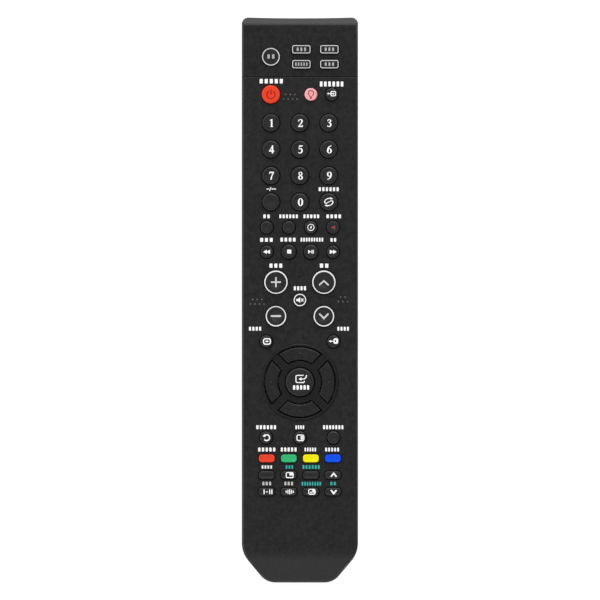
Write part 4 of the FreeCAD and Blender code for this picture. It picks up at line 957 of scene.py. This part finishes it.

# Each pad key's arrow is a thin sheet in painted shade.
x, y = middle_of("enter_key")[:2]
for name, (dx, dy) in ARROW_KEYS.items():
    top = middle_of(name)[5]
    ink = Ink(x + dx * ARROW_MARK_REACH, y + dy * ARROW_MARK_REACH, top)
    ink.fill([(-dy * 0.9 - dx * 0.4, dx * 0.9 - dy * 0.4),
              (dy * 0.9 - dx * 0.4, -dx * 0.9 - dy * 0.4), (dx * 0.7, dy * 0.7)])
    ink.piece(f"{name}_mark", name, ARROW_MARK_SHADE, "key_plastic")


# Battery cells.

CELL_LENGTH, CELL_RADIUS = 44.5, 5.25
# Profiles of one cell, as distance from its flat end and radius.
CELL_CORE = ((0.0, 3.7), (0.0, 3.9), (0.2, 4.1), (0.2, 4.7), (0.4, 4.95), (43.2, 4.95),
             (43.45, 4.7), (43.45, 2.3), (43.6, 1.9), (44.35, 1.9), (CELL_LENGTH, 1.7))
CELL_JACKET = ((0.45, 4.9), (0.42, 5.1), (0.6, CELL_RADIUS), (33.0, CELL_RADIUS), (33.0, 4.9))
CELL_BAND = ((33.0, 4.9), (33.0, 5.24), (42.9, 5.24), (43.1, 5.1), (43.08, 4.9))


def turned_cell(shell, x, z, flat_end, way, profile):
    """Turns a profile about a line along Y, from the cell's flat end towards its button."""
    shell.loops([[(x + radius * math.cos(TAU * i / 48), flat_end + out * way,
                   z - way * radius * math.sin(TAU * i / 48)) for i in range(48)]
                 for out, radius in profile])


cell_low, cell_high = (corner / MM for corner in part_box("battery_cells"))
column = cell_high.x - CELL_RADIUS
axis = (cell_low.z + cell_high.z) / 2
for title, profile, material, slot in (("core", CELL_CORE, STEEL, "contact_steel"),
                                       ("jacket", CELL_JACKET, JACKET, "cell_jacket"),
                                       ("band", CELL_BAND, BAND, "cell_jacket")):
    shell = Shell()
    turned_cell(shell, -column, axis, cell_high.y - CELL_LENGTH, 1, profile)
    turned_cell(shell, column, axis, cell_low.y + CELL_LENGTH, -1, profile)
    piece = shell.piece(f"battery_cell_{title}", "housing", material, slot, smooth=30)
    if title == "core":
        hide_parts("battery_cells")


# Floor, light and camera.

FLOOR_HALF, FLOOR_LEVEL, FLOOR_GLOW = 6.0, -0.00003, 0.84


def make_floor():
    mesh = bpy.data.meshes.new("floor")
    mesh.from_pydata([(x * FLOOR_HALF, y * FLOOR_HALF, FLOOR_LEVEL)
                      for x, y in ((-1, -1), (1, -1), (1, 1), (-1, 1))], [], [(0, 1, 2, 3)])
    floor = bpy.data.objects.new("floor", mesh)
    bpy.context.scene.collection.objects.link(floor)
    material = bpy.data.materials.new("floor")
    material.use_nodes = True
    tree = material.node_tree
    tree.nodes.clear()
    output = node_of(tree, "ShaderNodeOutputMaterial")
    diffuse = node_of(tree, "ShaderNodeBsdfDiffuse")
    diffuse.inputs["Color"].default_value = (0.3, 0.3, 0.3, 1)
    glow = node_of(tree, "ShaderNodeEmission")
    glow.inputs["Color"].default_value = (1, 1, 1, 1)
    glow.inputs["Strength"].default_value = FLOOR_GLOW
    white = node_of(tree, "ShaderNodeAddShader")
    tree.links.new(diffuse.outputs[0], white.inputs[0])
    tree.links.new(glow.outputs[0], white.inputs[1])
    # The floor is there for the camera and in reflections. From below, and to other light, it's
    # clear.
    rays = node_of(tree, "ShaderNodeLightPath").outputs
    seen = calculate(tree, "MAXIMUM", rays["Is Camera Ray"], rays["Is Glossy Ray"])
    seen = calculate(tree, "MAXIMUM", seen, rays["Is Transmission Ray"])
    side = node_of(tree, "ShaderNodeNewGeometry")
    front = calculate(tree, "SUBTRACT", seen, side.outputs["Backfacing"], clamp=True)
    clear = node_of(tree, "ShaderNodeBsdfTransparent")
    mix = node_of(tree, "ShaderNodeMixShader")
    tree.links.new(front, mix.inputs["Fac"])
    tree.links.new(clear.outputs[0], mix.inputs[1])
    tree.links.new(white.outputs[0], mix.inputs[2])
    tree.links.new(mix.outputs[0], output.inputs["Surface"])
    mesh.materials.append(material)


HORIZON_LEVEL, ZENITH_LEVEL, FRONT_LEAN, SIDE_LEAN = 1.12, 0.12, 0.42, -0.5


def make_world():
    """A pale studio: dim overhead where the camera hangs, bright at the horizon, and most so in
    front and on the left."""
    world = bpy.data.worlds.new("studio")
    bpy.context.scene.world = world
    world.use_nodes = True
    tree = world.node_tree
    tree.nodes.clear()

    def step(operation, first, second=0.0):
        return calculate(tree, operation, first, second)

    output = node_of(tree, "ShaderNodeOutputWorld")
    background = node_of(tree, "ShaderNodeBackground")
    coordinates = node_of(tree, "ShaderNodeTexCoord")
    split = node_of(tree, "ShaderNodeSeparateXYZ")
    tree.links.new(coordinates.outputs["Generated"], split.inputs[0])
    height = step("MAXIMUM", split.outputs["Z"], 0.0)
    rise = step("SQRT", step("SUBTRACT", 1.0, height))
    level = step("ADD", step("MULTIPLY", rise, HORIZON_LEVEL), ZENITH_LEVEL)
    lean = step("ADD", step("MULTIPLY", split.outputs["Y"], FRONT_LEAN), 1.0)
    lean = step("ADD", step("MULTIPLY", split.outputs["X"], SIDE_LEAN), lean)
    background.inputs["Color"].default_value = (1, 1, 1, 1)
    tree.links.new(step("MULTIPLY", level, lean), background.inputs["Strength"])
    tree.links.new(background.outputs[0], output.inputs["Surface"])


LAMP_TARGET = Vector((0, 0, 0.02))


def make_lamp(name, place, size, energy):
    data = bpy.data.lights.new(name, "AREA")
    data.shape = "RECTANGLE"
    data.size, data.size_y = size
    data.energy = energy
    lamp = bpy.data.objects.new(name, data)
    bpy.context.scene.collection.objects.link(lamp)
    lamp.location = place
    lamp.rotation_mode = "QUATERNION"
    lamp.rotation_quaternion = (LAMP_TARGET - Vector(place)).to_track_quat("-Z", "Y")


make_floor()
make_world()
make_lamp("key_light", (0.5, 1.34, 2.05), (0.8, 0.8), 13.5)
make_lamp("front_light", (0.1, 1.85, 1.2), (1.6, 0.6), 15.5)
make_lamp("tail_light", (0.0, -1.18, 1.62), (2.4, 0.6), 8.5)

DISTANCE = 6.0
TRUE_HEIGHT = 0.016    # the level at which a millimetre has its true size in the picture
ASIDE = 0.04           # how far right of the remote's middle the camera hangs, in millimetres
SENSOR = 36.0
camera_data = bpy.data.cameras.new("camera")
camera_data.sensor_width = SENSOR
camera_data.lens = SENSOR * (DISTANCE - TRUE_HEIGHT) / (PICTURE * PX * MM)
camera_data.clip_start, camera_data.clip_end = 0.5, 20.0
camera = bpy.data.objects.new("camera", camera_data)
bpy.context.scene.collection.objects.link(camera)
camera.location = (ASIDE * MM, 0.0, DISTANCE)
bpy.context.scene.camera = camera
bpy.context.scene.view_settings.view_transform = "Standard"
